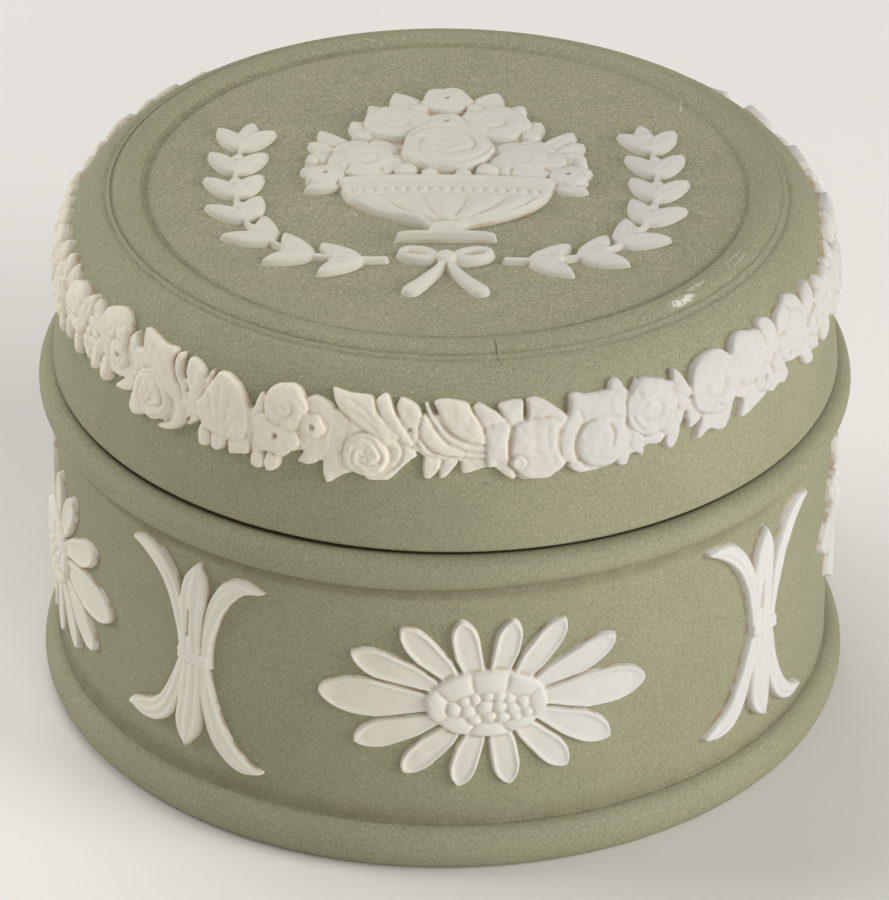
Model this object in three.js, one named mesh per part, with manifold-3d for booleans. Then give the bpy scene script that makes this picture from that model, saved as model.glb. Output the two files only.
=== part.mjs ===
// A small round stoneware box with a lift-off lid. Millimetres, +Z up, standing on z = 0, with
// its axis on Z and its front towards -Y. The base and the lid are turned shells of green clay.
// The white ornaments are thin pressings of pale clay, each laid on the green clay by itself.

import * as THREE from "three";
import { mergeVertices } from "three/addons/utils/BufferGeometryUtils.js";
import { TessellateModifier } from "three/addons/modifiers/TessellateModifier.js";
import Module from "manifold-3d";

// Base: an upright wall between a rolled foot and a rolled rim
const WALL_RADIUS = 39.7;
const WALL_THICKNESS = 4.1;
const WALL_HEIGHT = 27.7;
const FOOT_HEIGHT = 4.9;
const FOOT_OVERHANG = 1.8;
const FOOT_RING_WIDTH = 4.4;
const FOOT_HOLLOW = 1.4;
const RIM_HEIGHT = 3.65;
const RIM_OVERHANG = 1.7;
const FLOOR_THICKNESS = 3.6;
const FLOOR_FILLET = 2;

// Collar that stands up inside the rim and keeps the lid from sliding off
const COLLAR_HEIGHT = 3.6;
const COLLAR_THICKNESS = 1.4;
const COLLAR_CHAMFER = 0.4;

// Lid: a skirt that leans in, a round shoulder, a raised ring and a flat panel inside it
const LID_FIT = 0.35;
const SEAT_GAP = 0.3;
const SKIRT_THICKNESS = 2.6;
const SKIRT_HEIGHT = 12.95;
const SKIRT_LEAN = 1.5;
const LIP_ROUND = 0.5;
const SHOULDER_HEIGHT = 5.6;
const SHOULDER_REACH = 4.1;
const RING_WIDTH = 4;
const RING_HEIGHT = 0.9;
const LID_TOP_THICKNESS = 3;
const CEILING_ROUND = 4;

// White pressings
const LAYING_GAP = 0.3;
const WALL_RELIEF = 0.9;
const GARLAND_RELIEF = 1.1;
const PANEL_RELIEF = 1.6;

// Ornaments round the wall: daisies and palmettes by turns, laid by eye a little off their places,
// by so many degrees round the box and so many millimetres up it
const ROW_PAIRS = 4;
const ROW_TURN = 7;
const ROW_RAISE = 0.5;
const DAISY_SLIPS = [-0.8, 0, 0, 3.3];
const DAISY_RAISES = [-0.2, 0, 0, -1.9];
const PALMETTE_SLIPS = [0.7, 0, 0, -0.3];
const PALMETTE_RAISES = [-0.4, 0, 0, 0];

const DAISY_PETALS = 14;
const DAISY_HALF_WIDTH = 16.7;
const DAISY_HALF_HEIGHT = 10;
const PETAL_WIDTH_RATIO = 0.25;
const BOSS_HALF_WIDTH = 6.2;
const BOSS_HALF_HEIGHT = 3.8;
const BOSS_LOBES = 9;

const PALMETTE_HALF_HEIGHT = 10.8;
const PALMETTE_HALF_WIDTH = 8.3;
const PALMETTE_LEAF_WIDTH = 3.2;
const TIE_WIDTH = 3.6;
const TIE_HEIGHT = 2.2;

// Garland: equal lengths end to end, their middle line this far up the lid's side from its lip
const GARLAND_LENGTHS = 8;
const GARLAND_TURN = 4.5;
const GARLAND_RISE = 11.35;
const GARLAND_STEM_WIDTH = 3.4;
const GARLAND_LEAF_WIDTH = 3.2;
const GARLAND_JOINT = 0.3;

// Blooms of each garland length: place along it, place above its middle line, radius
const GARLAND_BLOOMS = [
  [[-10.6, 1.6, 2.7], [-3.6, -1.3, 3.2], [5, 0, 3], [11.3, 2, 2.4], [10.7, -1.5, 2.5]],
  [[-10.5, -1.2, 3.3], [-6.4, 1.4, 1.5], [5.7, -0.6, 2.9], [11.6, -0.4, 3.3]],
  [[-12.4, 0.8, 2.7], [-5.1, 1, 3.2], [0.8, 1, 2.6], [7.8, 0.6, 3]],
  [[-11.5, 0.4, 2.8], [-5.4, -0.7, 3.2], [0.6, 1.4, 2.4], [5.8, -0.6, 3], [11.4, 0.8, 2.6]],
];

// Leaves of each garland length: root and tip, each as a place along and above its middle line
const GARLAND_LEAVES = [
  [[-8, 0, -6.3, 4.4], [-3, 1, -1, 4.2], [-11, 0, -12, -4.4], [3.6, 0, 4.2, 4.4], [5.6, -1, 6.9, -4.6], [12.8, 0, 14.1, -3.8]],
  [[-10.6, 0, -14.1, 4.6], [-9, 0, -9.2, 4.6], [-11.6, -1, -14, -4.9], [3.4, -0.6, -4.9, 3.8], [3.4, -0.2, -1.3, 4.4],
    [-1.6, -0.4, -4.7, -3.9], [5.8, 0, 6, 4.4]],
  [[-10.4, 1, -9.4, 4.2], [-11.4, 0, -10.9, -4.2], [-7, 0, -7.6, -4.2], [2.8, 1, 3.3, 4.4], [-0.4, 0, -1.3, -4.2],
    [11.6, 0, 12.9, 4.4], [12, 0, 13.4, -3.4]],
  [[-8.6, 0, -8, 4.3], [-9.6, 0, -9.4, -4.4], [-2.8, 0, -2.6, 4.4], [-1.2, 0, -1.4, -4.2], [8.8, 0, 8.6, -4.4], [9, 0, 8, 4.2]],
];

// Panel ornament: a footed bowl of flowers between two leafy branches, with a bow below
const BOWL_HALF_WIDTH = 11;
const BOWL_HEIGHT = 12;
const BOWL_BOTTOM = -11.5;
const BOWL_FOOT_HALF_WIDTH = 5.2;
const BOWL_STEM_HALF_WIDTH = 1.7;
const BOWL_RIM_HEIGHT = 1.6;

// Blooms in the bowl: place across it, place above its rim and radius, as shares of its half width
const BOUQUET_BLOOM_SHARES = [
  [0, 0.51, 0.46], [-0.73, 0.34, 0.38], [0.73, 0.34, 0.38], [-0.42, 1.03, 0.35], [0.42, 1.03, 0.35],
  [0, 1.49, 0.29], [-1.12, 0.04, 0.22], [1.12, 0.04, 0.22],
];

// Leaves in the bowl, root and tip, in the same shares
const BOUQUET_LEAF_SHARES = [
  [-0.73, 0.47, -1.31, 0.74], [0.73, 0.47, 1.31, 0.74], [-0.48, 0.78, -0.92, 1.16], [0.48, 0.78, 0.92, 1.16],
  [-0.21, 1.3, -0.5, 1.74], [0.21, 1.3, 0.5, 1.74], [-0.94, 0.16, -1.37, 0.22], [0.94, 0.16, 1.37, 0.22],
];
const BOUQUET_LEAF_WIDTH = 4.4;
const BRANCH_START = new THREE.Vector2(6, -15.4);
const BRANCH_SWING = new THREE.Vector2(24.5, -17);
const BRANCH_TIP = new THREE.Vector2(20.5, 9.5);
const BRANCH_WIDTH = 0.9;
const BRANCH_LEAF_PAIRS = 7;
const BRANCH_LEAF_LENGTH = 5.4;
const BRANCH_LEAF_ROOT = 1;
const BRANCH_LEAF_WIDTH = 3;
const BRANCH_LEAF_SPREAD = 38;
const BOW_HEIGHT = -15.6;
const BOW_LOOP_LENGTH = 4.4;
const BOW_TAIL_LENGTH = 6;
const BOW_BAND_WIDTH = 3;

// Fineness of the round shapes
const TURNED_SIDES = 48;
const ROUND_STEPS = 3;
const LEAF_SIDES = 6;
const PETAL_SIDES = 8;
const FROND_SIDES = 14;
const BLOOM_LOBES = 5;
const STEM_STEPS = 8;
const LONGEST_EDGE = 7;

const GREEN_CLAY = { color: 0x8f8f6b, roughness: 0.92, metalness: 0 };
const WHITE_CLAY = { color: 0xded9cc, roughness: 0.85, metalness: 0 };

// Heights and radii that the parts share
const WALL_TOP = FOOT_HEIGHT + WALL_HEIGHT;
const SEAT = WALL_TOP + RIM_HEIGHT;
const INNER_RADIUS = WALL_RADIUS - WALL_THICKNESS;
const COLLAR_RADIUS = INNER_RADIUS + COLLAR_THICKNESS;
const LID_BORE = COLLAR_RADIUS + LID_FIT;
const LID_RADIUS = LID_BORE + SKIRT_THICKNESS;
const LID_BOTTOM = SEAT + SEAT_GAP;
const SKIRT_TOP = LID_BOTTOM + SKIRT_HEIGHT;
const PANEL = SKIRT_TOP + SHOULDER_HEIGHT;
const PANEL_RADIUS = LID_RADIUS - SKIRT_LEAN - SHOULDER_REACH - RING_WIDTH;

const wasm = await Module();
wasm.setup();

// A closed three.js mesh as a solid that can be joined and cut
function toSolid(geometry) {
  const bare = geometry.clone();
  bare.deleteAttribute("normal");
  bare.deleteAttribute("uv");
  const merged = mergeVertices(bare, 1e-4);
  const corners = merged.index.array;
  const triangles = [];
  for (let i = 0; i < corners.length; i += 3) {
    const [a, b, c] = corners.subarray(i, i + 3);
    if (a !== b && b !== c && c !== a) triangles.push(a, b, c);
  }
  return new wasm.Manifold(new wasm.Mesh({
    numProp: 3,
    vertProperties: new Float32Array(merged.attributes.position.array),
    triVerts: new Uint32Array(triangles),
  }));
}

function toGeometry(solid) {
  const { vertProperties, triVerts } = solid.getMesh();
  const geometry = new THREE.BufferGeometry();
  geometry.setAttribute("position", new THREE.BufferAttribute(vertProperties, 3));
  geometry.setIndex(new THREE.BufferAttribute(triVerts, 1));
  return geometry;
}

function join(geometries) {
  return toGeometry(geometries.map(toSolid).reduce((whole, piece) => whole.add(piece)));
}

// Moves each corner of a mesh to where the given function puts it
function reshape(geometry, place) {
  const corners = geometry.attributes.position;
  const corner = new THREE.Vector3();
  for (let i = 0; i < corners.count; i += 1) {
    place(corner.fromBufferAttribute(corners, i));
    corners.setXYZ(i, corner.x, corner.y, corner.z);
  }
  return geometry;
}

// A shell turned about Z from an outline of radius and height that starts and ends on the axis
function turned(outline) {
  return new THREE.LatheGeometry(outline.getPoints(ROUND_STEPS), TURNED_SIDES).rotateX(Math.PI / 2);
}

function baseBody() {
  const floor = FOOT_HOLLOW + FLOOR_THICKNESS;
  const collarTop = SEAT + COLLAR_HEIGHT;
  const ringInside = WALL_RADIUS - FOOT_RING_WIDTH;
  const outline = new THREE.Path();
  outline.moveTo(0, FOOT_HOLLOW);
  outline.lineTo(ringInside - FOOT_HOLLOW, FOOT_HOLLOW);
  outline.lineTo(ringInside, 0);
  outline.lineTo(WALL_RADIUS, 0);
  outline.absellipse(WALL_RADIUS, FOOT_HEIGHT / 2, FOOT_OVERHANG, FOOT_HEIGHT / 2, -Math.PI / 2, Math.PI / 2);
  outline.lineTo(WALL_RADIUS, WALL_TOP);
  outline.absellipse(WALL_RADIUS, WALL_TOP + RIM_HEIGHT / 2, RIM_OVERHANG, RIM_HEIGHT / 2, -Math.PI / 2, Math.PI / 2);
  outline.lineTo(COLLAR_RADIUS, SEAT);
  outline.lineTo(COLLAR_RADIUS, collarTop - COLLAR_CHAMFER);
  outline.lineTo(COLLAR_RADIUS - COLLAR_CHAMFER, collarTop);
  outline.lineTo(INNER_RADIUS, collarTop);
  outline.lineTo(INNER_RADIUS, floor + FLOOR_FILLET);
  outline.quadraticCurveTo(INNER_RADIUS, floor, INNER_RADIUS - FLOOR_FILLET, floor);
  outline.lineTo(0, floor);
  return turned(outline);
}

// The lid's side and shoulder, from the lip up to the raised ring: radius and height
function lidSide() {
  const side = new THREE.Path();
  side.moveTo(LID_RADIUS, LID_BOTTOM + LIP_ROUND);
  side.lineTo(LID_RADIUS - SKIRT_LEAN, SKIRT_TOP);
  side.bezierCurveTo(
    LID_RADIUS - SKIRT_LEAN * 1.2, SKIRT_TOP + SHOULDER_HEIGHT / 2,
    LID_RADIUS - SKIRT_LEAN - SHOULDER_REACH / 2, SKIRT_TOP + SHOULDER_HEIGHT * 0.8,
    PANEL_RADIUS + RING_WIDTH, PANEL,
  );
  return side;
}

function lidShell() {
  const ceiling = PANEL - LID_TOP_THICKNESS;
  const collarRoom = SEAT + COLLAR_HEIGHT + SEAT_GAP;
  const inside = LID_BORE - SKIRT_LEAN;
  const outline = new THREE.Path();
  outline.moveTo(0, ceiling);
  outline.lineTo(inside - CEILING_ROUND, ceiling);
  outline.quadraticCurveTo(inside, ceiling, inside, ceiling - CEILING_ROUND);
  outline.lineTo(LID_BORE, collarRoom);
  outline.lineTo(LID_BORE, LID_BOTTOM);
  outline.lineTo(LID_RADIUS - LIP_ROUND, LID_BOTTOM);
  outline.quadraticCurveTo(LID_RADIUS, LID_BOTTOM, LID_RADIUS, LID_BOTTOM + LIP_ROUND);
  outline.curves.push(...lidSide().curves);
  outline.currentPoint.set(PANEL_RADIUS + RING_WIDTH, PANEL);
  outline.absellipse(PANEL_RADIUS + RING_WIDTH / 2, PANEL, RING_WIDTH / 2, RING_HEIGHT, 0, Math.PI);
  outline.lineTo(0, PANEL);
  return turned(outline);
}

// A low dome of unit radius and unit height on a flat back, its outline a ring of straight sides
function dome(sides, slope) {
  const profile = [[0, 0], [1, 0], ...slope, [0, 1]].map(([radius, height]) => new THREE.Vector2(radius, height));
  return new THREE.LatheGeometry(profile, sides).rotateX(Math.PI / 2);
}

// A petal that follows a flat curve from its root to its tip and rises to a point in its middle
function petal(spine, width, height, sides = PETAL_SIDES, pointed = 0.15) {
  return reshape(dome(sides, []), (corner) => {
    const along = THREE.MathUtils.clamp((corner.y + 1) / 2, 0, 1);
    const across = corner.x * Math.max(0, 1 - corner.y ** 2) ** pointed * width / 2;
    const middle = spine.getPoint(along);
    const ahead = spine.getTangent(along);
    corner.set(middle.x + ahead.y * across, middle.y - ahead.x * across, corner.z * height);
  });
}

function line([rootX, rootY, tipX, tipY]) {
  return new THREE.LineCurve(new THREE.Vector2(rootX, rootY), new THREE.Vector2(tipX, tipY));
}

// A straight pointed leaf
function leaf(ends, width, height) {
  return petal(line(ends), width, height, LEAF_SIDES, 0.5);
}

// A flat stem of even width that follows a flat curve
function stem(spine, width, height) {
  const edges = [-1, 1].map((side) => Array.from({ length: STEM_STEPS + 1 }, (_, i) => {
    const ahead = spine.getTangent(i / STEM_STEPS);
    return spine.getPoint(i / STEM_STEPS).add(new THREE.Vector2(ahead.y, -ahead.x).multiplyScalar(side * width / 2));
  }));
  const outline = new THREE.Shape([...edges[0], ...edges[1].reverse()]);
  return new THREE.ExtrudeGeometry(outline, { depth: height, bevelEnabled: false });
}

// An open flower: a lobed cushion with a bud standing in its middle
function bloom([x, y, radius], height) {
  const flower = dome(BLOOM_LOBES * 2, [[0.75, 0.75]]);
  return reshape(flower, (corner) => {
    const lobed = radius * (1 + 0.09 * Math.cos(BLOOM_LOBES * Math.atan2(corner.x, corner.y)) - 0.04);
    corner.set(x + corner.x * lobed, y + corner.y * lobed, corner.z * height);
  });
}

// An oval cushion with a wavy edge, in the middle of a daisy
function boss() {
  return reshape(dome(BOSS_LOBES * 2, [[0.75, 0.8]]), (corner) => {
    const wave = 1 + 0.05 * Math.cos(BOSS_LOBES * Math.atan2(corner.x, corner.y));
    corner.x *= BOSS_HALF_WIDTH * wave;
    corner.y *= BOSS_HALF_HEIGHT * wave;
    corner.z *= WALL_RELIEF;
  });
}

// Flat ornament of petals round an oval boss, their tips on a wide oval
function daisy() {
  const pieces = [boss()];
  for (let i = 0; i < DAISY_PETALS; i += 1) {
    const angle = 2 * Math.PI * i / DAISY_PETALS;
    const [x, y] = [Math.cos(angle), Math.sin(angle)];
    const reach = 1 / Math.hypot(x / DAISY_HALF_WIDTH, y / DAISY_HALF_HEIGHT);
    const root = 0.6 / Math.hypot(x / BOSS_HALF_WIDTH, y / BOSS_HALF_HEIGHT);
    const spine = line([x * root, y * root, x * reach, y * reach]);
    pieces.push(petal(spine, PETAL_WIDTH_RATIO * reach, WALL_RELIEF * 0.8));
  }
  return join(pieces);
}

// Flat ornament of three leaves up and three down, held by a tie in the middle
function palmette() {
  const pieces = [];
  for (const up of [1, -1]) {
    const tip = up * PALMETTE_HALF_HEIGHT;
    pieces.push(petal(line([0, 0, 0, tip]), PALMETTE_LEAF_WIDTH, WALL_RELIEF, PETAL_SIDES, 0.5));
    for (const side of [1, -1]) {
      const spine = new THREE.QuadraticBezierCurve(
        new THREE.Vector2(side * TIE_WIDTH / 4, 0),
        new THREE.Vector2(side * PALMETTE_HALF_WIDTH / 4, tip * 0.85),
        new THREE.Vector2(side * PALMETTE_HALF_WIDTH, tip),
      );
      pieces.push(petal(spine, PALMETTE_LEAF_WIDTH, WALL_RELIEF * 0.8, FROND_SIDES, 0.3));
    }
  }
  const tie = new THREE.BoxGeometry(TIE_WIDTH, TIE_HEIGHT, WALL_RELIEF);
  pieces.push(tie.translate(0, 0, WALL_RELIEF / 2));
  return join(pieces);
}

// Flat length of garland: blooms and leaves on a stem, cut square at both ends
function garlandLength(blooms, leaves, length) {
  const pieces = [stem(line([-length / 2, 0, length / 2, 0]), GARLAND_STEM_WIDTH, GARLAND_RELIEF * 0.4)];
  pieces.push(...leaves.map((ends) => leaf(ends, GARLAND_LEAF_WIDTH, GARLAND_RELIEF * 0.7)));
  pieces.push(...blooms.map((place) => bloom(place, GARLAND_RELIEF)));
  const cut = new THREE.BoxGeometry(length - GARLAND_JOINT, length, GARLAND_RELIEF * 4);
  return toGeometry(toSolid(join(pieces)).intersect(toSolid(cut)));
}

// Lays a flat ornament on an upright curved face: radius and height of the face at a distance up it
function laidOn(ornament, radius, face) {
  const fine = new TessellateModifier(LONGEST_EDGE, 6).modify(ornament.toNonIndexed());
  return reshape(fine, (corner) => {
    const { point, outward } = face(corner.y);
    const lift = LAYING_GAP + corner.z;
    const angle = corner.x / radius;
    const reach = point.x + outward.x * lift;
    corner.set(reach * Math.sin(angle), -reach * Math.cos(angle), point.y + outward.y * lift);
  });
}

function wallFace(up) {
  const middle = FOOT_HEIGHT + WALL_HEIGHT / 2 + ROW_RAISE;
  return { point: new THREE.Vector2(WALL_RADIUS, middle + up), outward: new THREE.Vector2(1, 0) };
}

const SIDE = lidSide();

function lidFace(up) {
  const along = (GARLAND_RISE + up) / SIDE.getLength();
  const ahead = SIDE.getTangent(along);
  return { point: SIDE.getPoint(along), outward: new THREE.Vector2(ahead.y, -ahead.x) };
}

function panelBowl() {
  const rimTop = BOWL_BOTTOM + BOWL_HEIGHT;
  const rimBottom = rimTop - BOWL_RIM_HEIGHT;
  const stem = BOWL_BOTTOM + BOWL_HEIGHT * 0.2;
  const outline = new THREE.Shape();
  outline.moveTo(-BOWL_FOOT_HALF_WIDTH, BOWL_BOTTOM);
  outline.lineTo(BOWL_FOOT_HALF_WIDTH, BOWL_BOTTOM);
  outline.quadraticCurveTo(BOWL_STEM_HALF_WIDTH, BOWL_BOTTOM, BOWL_STEM_HALF_WIDTH, stem);
  outline.quadraticCurveTo(BOWL_HALF_WIDTH, stem, BOWL_HALF_WIDTH, rimBottom);
  outline.lineTo(BOWL_HALF_WIDTH, rimTop);
  outline.lineTo(-BOWL_HALF_WIDTH, rimTop);
  outline.lineTo(-BOWL_HALF_WIDTH, rimBottom);
  outline.quadraticCurveTo(-BOWL_HALF_WIDTH, stem, -BOWL_STEM_HALF_WIDTH, stem);
  outline.quadraticCurveTo(-BOWL_STEM_HALF_WIDTH, BOWL_BOTTOM, -BOWL_FOOT_HALF_WIDTH, BOWL_BOTTOM);
  const bowl = new THREE.ExtrudeGeometry(outline, {
    depth: PANEL_RELIEF * 0.7,
    curveSegments: ROUND_STEPS,
    bevelEnabled: false,
  });
  const sized = (shares) => shares.map((share) => share * BOWL_HALF_WIDTH);
  const pieces = [
    ...BOUQUET_LEAF_SHARES.map((ends) => leaf(sized(ends), BOUQUET_LEAF_WIDTH, PANEL_RELIEF * 0.6)),
    ...BOUQUET_BLOOM_SHARES.map((place) => bloom(sized(place), PANEL_RELIEF)),
  ];
  return join([bowl, ...pieces.map((piece) => piece.translate(0, rimTop, 0))]);
}

// One leafy branch, on the right for side 1 and on the left for side -1
function panelBranch(side) {
  const bends = [BRANCH_START, BRANCH_SWING, BRANCH_TIP].map((point) => new THREE.Vector2(side * point.x, point.y));
  const spine = new THREE.QuadraticBezierCurve(...bends);
  const pieces = [stem(spine, BRANCH_WIDTH, PANEL_RELIEF * 0.3)];
  for (let i = 0; i < BRANCH_LEAF_PAIRS; i += 1) {
    const along = (i + 0.5) / BRANCH_LEAF_PAIRS;
    const root = spine.getPointAt(along);
    for (const turn of [-BRANCH_LEAF_SPREAD, BRANCH_LEAF_SPREAD]) {
      const reach = spine.getTangentAt(along).rotateAround(new THREE.Vector2(), THREE.MathUtils.degToRad(turn));
      const start = root.clone().addScaledVector(reach, -BRANCH_LEAF_ROOT);
      const end = root.clone().addScaledVector(reach, BRANCH_LEAF_LENGTH);
      pieces.push(leaf([start.x, start.y, end.x, end.y], BRANCH_LEAF_WIDTH, PANEL_RELIEF * 0.6));
    }
  }
  return join(pieces);
}

// A tied bow: two loops, two hanging tails and a knot
function panelBow() {
  const pieces = [];
  for (const side of [1, -1]) {
    const loop = [0, BOW_HEIGHT, side * BOW_LOOP_LENGTH, BOW_HEIGHT + BOW_LOOP_LENGTH / 3];
    const tail = [0, BOW_HEIGHT, side * BOW_TAIL_LENGTH / 2, BOW_HEIGHT - BOW_TAIL_LENGTH];
    pieces.push(leaf(loop, BOW_BAND_WIDTH, PANEL_RELIEF * 0.6));
    pieces.push(leaf(tail, BOW_BAND_WIDTH, PANEL_RELIEF * 0.5));
  }
  pieces.push(bloom([0, BOW_HEIGHT, BOW_BAND_WIDTH / 2], PANEL_RELIEF * 0.8));
  return join(pieces);
}

const box = new THREE.Group();

function addPiece(name, geometry, finish) {
  const mesh = new THREE.Mesh(geometry, new THREE.MeshStandardMaterial(finish));
  mesh.name = name;
  box.add(mesh);
  return mesh;
}

function turnTo(mesh, degrees) {
  mesh.rotation.z = THREE.MathUtils.degToRad(degrees);
}

addPiece("base_body", baseBody(), GREEN_CLAY);
addPiece("lid_shell", lidShell(), GREEN_CLAY);

for (let i = 0; i < ROW_PAIRS; i += 1) {
  const turn = ROW_TURN + 360 * i / ROW_PAIRS;
  const flower = addPiece(`daisy_${i + 1}`, laidOn(daisy(), WALL_RADIUS, wallFace), WHITE_CLAY);
  turnTo(flower, turn + DAISY_SLIPS[i % DAISY_SLIPS.length]);
  flower.position.z = DAISY_RAISES[i % DAISY_RAISES.length];
  const frond = addPiece(`palmette_${i + 1}`, laidOn(palmette(), WALL_RADIUS, wallFace), WHITE_CLAY);
  turnTo(frond, turn + 180 / ROW_PAIRS + PALMETTE_SLIPS[i % PALMETTE_SLIPS.length]);
  frond.position.z = PALMETTE_RAISES[i % PALMETTE_RAISES.length];
}

const garlandRadius = lidFace(0).point.x;
const garlandPitch = 2 * Math.PI * garlandRadius / GARLAND_LENGTHS;
for (let i = 0; i < GARLAND_LENGTHS; i += 1) {
  const kind = i % GARLAND_BLOOMS.length;
  const flat = garlandLength(GARLAND_BLOOMS[kind], GARLAND_LEAVES[kind], garlandPitch);
  const mesh = addPiece(`garland_length_${i + 1}`, laidOn(flat, garlandRadius, lidFace), WHITE_CLAY);
  turnTo(mesh, GARLAND_TURN + 360 * (i - 1) / GARLAND_LENGTHS);
}

const panelPieces = {
  panel_bowl: panelBowl(),
  panel_branch_left: panelBranch(-1),
  panel_branch_right: panelBranch(1),
  panel_bow: panelBow(),
};
for (const [name, geometry] of Object.entries(panelPieces)) {
  addPiece(name, geometry, WHITE_CLAY).position.z = PANEL;
}

export default box;
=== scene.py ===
import bpy
import numpy as np
from mathutils import Matrix


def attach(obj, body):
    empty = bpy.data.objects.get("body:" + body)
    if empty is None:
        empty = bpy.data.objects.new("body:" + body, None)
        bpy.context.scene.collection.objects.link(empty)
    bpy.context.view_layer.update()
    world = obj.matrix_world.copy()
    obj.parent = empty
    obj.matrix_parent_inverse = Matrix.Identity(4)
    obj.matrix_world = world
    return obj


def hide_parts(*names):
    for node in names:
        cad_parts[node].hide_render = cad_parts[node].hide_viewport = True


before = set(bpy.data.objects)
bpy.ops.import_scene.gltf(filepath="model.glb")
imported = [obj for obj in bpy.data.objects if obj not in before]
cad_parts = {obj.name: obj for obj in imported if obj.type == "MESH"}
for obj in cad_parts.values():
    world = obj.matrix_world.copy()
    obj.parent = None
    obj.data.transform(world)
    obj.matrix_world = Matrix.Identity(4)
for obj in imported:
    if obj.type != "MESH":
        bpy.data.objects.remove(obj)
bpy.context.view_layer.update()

# Camera: a long lens a little under 0.7 m away, in front of the box and looking down on it at
# about 31 degrees, so that the lid shows as an oval and the wall as a shallow curve.
CAMERA_PLACE = (0, -0.58818, 0.37898)
CAMERA_DOWN = np.radians(31.093)
CAMERA_ROLL = np.radians(0.412)
CAMERA_LENS = 267.24

camera = bpy.data.cameras.new("camera")
camera.lens = CAMERA_LENS
camera.sensor_width = 36
camera_stand = bpy.data.objects.new("camera", camera)
camera_stand.matrix_world = (
    Matrix.Translation(CAMERA_PLACE)
    @ Matrix.Rotation(np.pi / 2 - CAMERA_DOWN, 4, "X")
    @ Matrix.Rotation(CAMERA_ROLL, 4, "Z")
)
bpy.context.scene.collection.objects.link(camera_stand)
bpy.context.scene.camera = camera_stand
bpy.context.scene.view_settings.view_transform = "Standard"

# Base: the lower half of the box, one shell of green clay thrown on a wheel and trimmed. An upright
# wall stands between a rolled foot and a rolled rim, and a thin collar inside the rim holds the lid.
MM = 0.001
WALL_RADIUS = 39.7
INNER_RADIUS = 35.6
FOOT_HEIGHT = 4.9
FOOT_OVERHANG = 1.8
FOOT_INSIDE = 35.3
FOOT_HOLLOW = 1.4
FLOOR = 5.0
FLOOR_FILLET = 2.0
WALL_TOP = 32.6
RIM_OVERHANG = 1.7
SEAT = 36.25
SEAT_FALL = 0.7
COLLAR_RADIUS = 37.0
COLLAR_TOP = 39.85
CREASE_TILT = 0.28
SHELL_SIDES = 320
PROFILE_STEP = 0.05
EDGE_SOFTNESS = 0.11
LONGEST_STEP = 2.5
LARGEST_TURN = np.radians(7)
NEARBY = 0.7
DUSTY_RADIUS = 30.2
# Side of the box where the painted shade in the creases is strongest, as an angle round the box
SHADED_SIDE = np.radians(-60)


def arc(centre, size, start, end):
    """A quarter or more of an ellipse about centre: x = size x cos a, z = size z sin a, in degrees."""
    angle = np.radians(np.linspace(start, end, 48))
    return np.column_stack([centre[0] + size[0] * np.cos(angle), centre[1] + size[1] * np.sin(angle)])


def along(path):
    """Distance from a path's first point to each of its points, measured along the path."""
    return np.concatenate([[0], np.cumsum(np.hypot(*np.diff(path, axis=0).T))])


def spaced(path, places):
    """The points of a path at the given distances along it."""
    length = along(path)
    return np.column_stack([np.interp(places, length, path[:, axis]) for axis in (0, 1)])


def averaged(path, softness):
    """The bell-weighted mean of each point and its neighbours, for a path in even steps.

    The two ends stay on the axis, because the path is mirrored about them first."""
    reach = int(3 * softness / PROFILE_STEP)
    weights = np.exp(-0.5 * (np.arange(-reach, reach + 1) * PROFILE_STEP / softness) ** 2)
    mirrored = np.vstack([path[reach:0:-1] * [-1, 1], path, path[-2:-reach - 2:-1] * [-1, 1]])
    weights = weights / weights.sum()
    return np.column_stack([np.convolve(mirrored[:, axis], weights, "valid") for axis in (0, 1)])


def hollows(path):
    """How far each point of a path lies inside the mean of the path near it, in millimetres."""
    ahead = np.gradient(path, axis=0)
    outward = np.column_stack([ahead[:, 1], -ahead[:, 0]]) / np.hypot(*ahead.T)[:, None]
    return np.einsum("ij,ij->i", averaged(path, NEARBY) - path, outward)


def eased(share):
    """0 below 0, 1 above 1 and a smooth step between."""
    share = np.clip(share, 0, 1)
    return share * share * (3 - 2 * share)


def mesh_piece(name, corners, quads, triangles=(), **marks):
    """A smooth mesh object from corners in millimetres, faces by corner number and a value per corner."""
    quads = np.asarray(quads, dtype=np.int32).reshape(-1, 4)
    triangles = np.asarray(triangles, dtype=np.int32).reshape(-1, 3)
    starts = np.concatenate([np.arange(len(quads)) * 4, quads.size + np.arange(len(triangles)) * 3])
    loops = np.concatenate([quads.ravel(), triangles.ravel()])
    mesh = bpy.data.meshes.new(name)
    mesh.vertices.add(len(corners))
    mesh.vertices.foreach_set("co", (corners * MM).astype(np.float32).ravel())
    mesh.loops.add(len(loops))
    mesh.loops.foreach_set("vertex_index", loops)
    mesh.polygons.add(len(starts))
    mesh.polygons.foreach_set("loop_start", starts.astype(np.int32))
    mesh.update(calc_edges=True)
    mesh.shade_smooth()
    for mark, values in marks.items():
        mesh.attributes.new(mark, "FLOAT", "POINT").data.foreach_set("value", values.astype(np.float32))
    piece = bpy.data.objects.new(name, mesh)
    bpy.context.scene.collection.objects.link(piece)
    return piece


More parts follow.
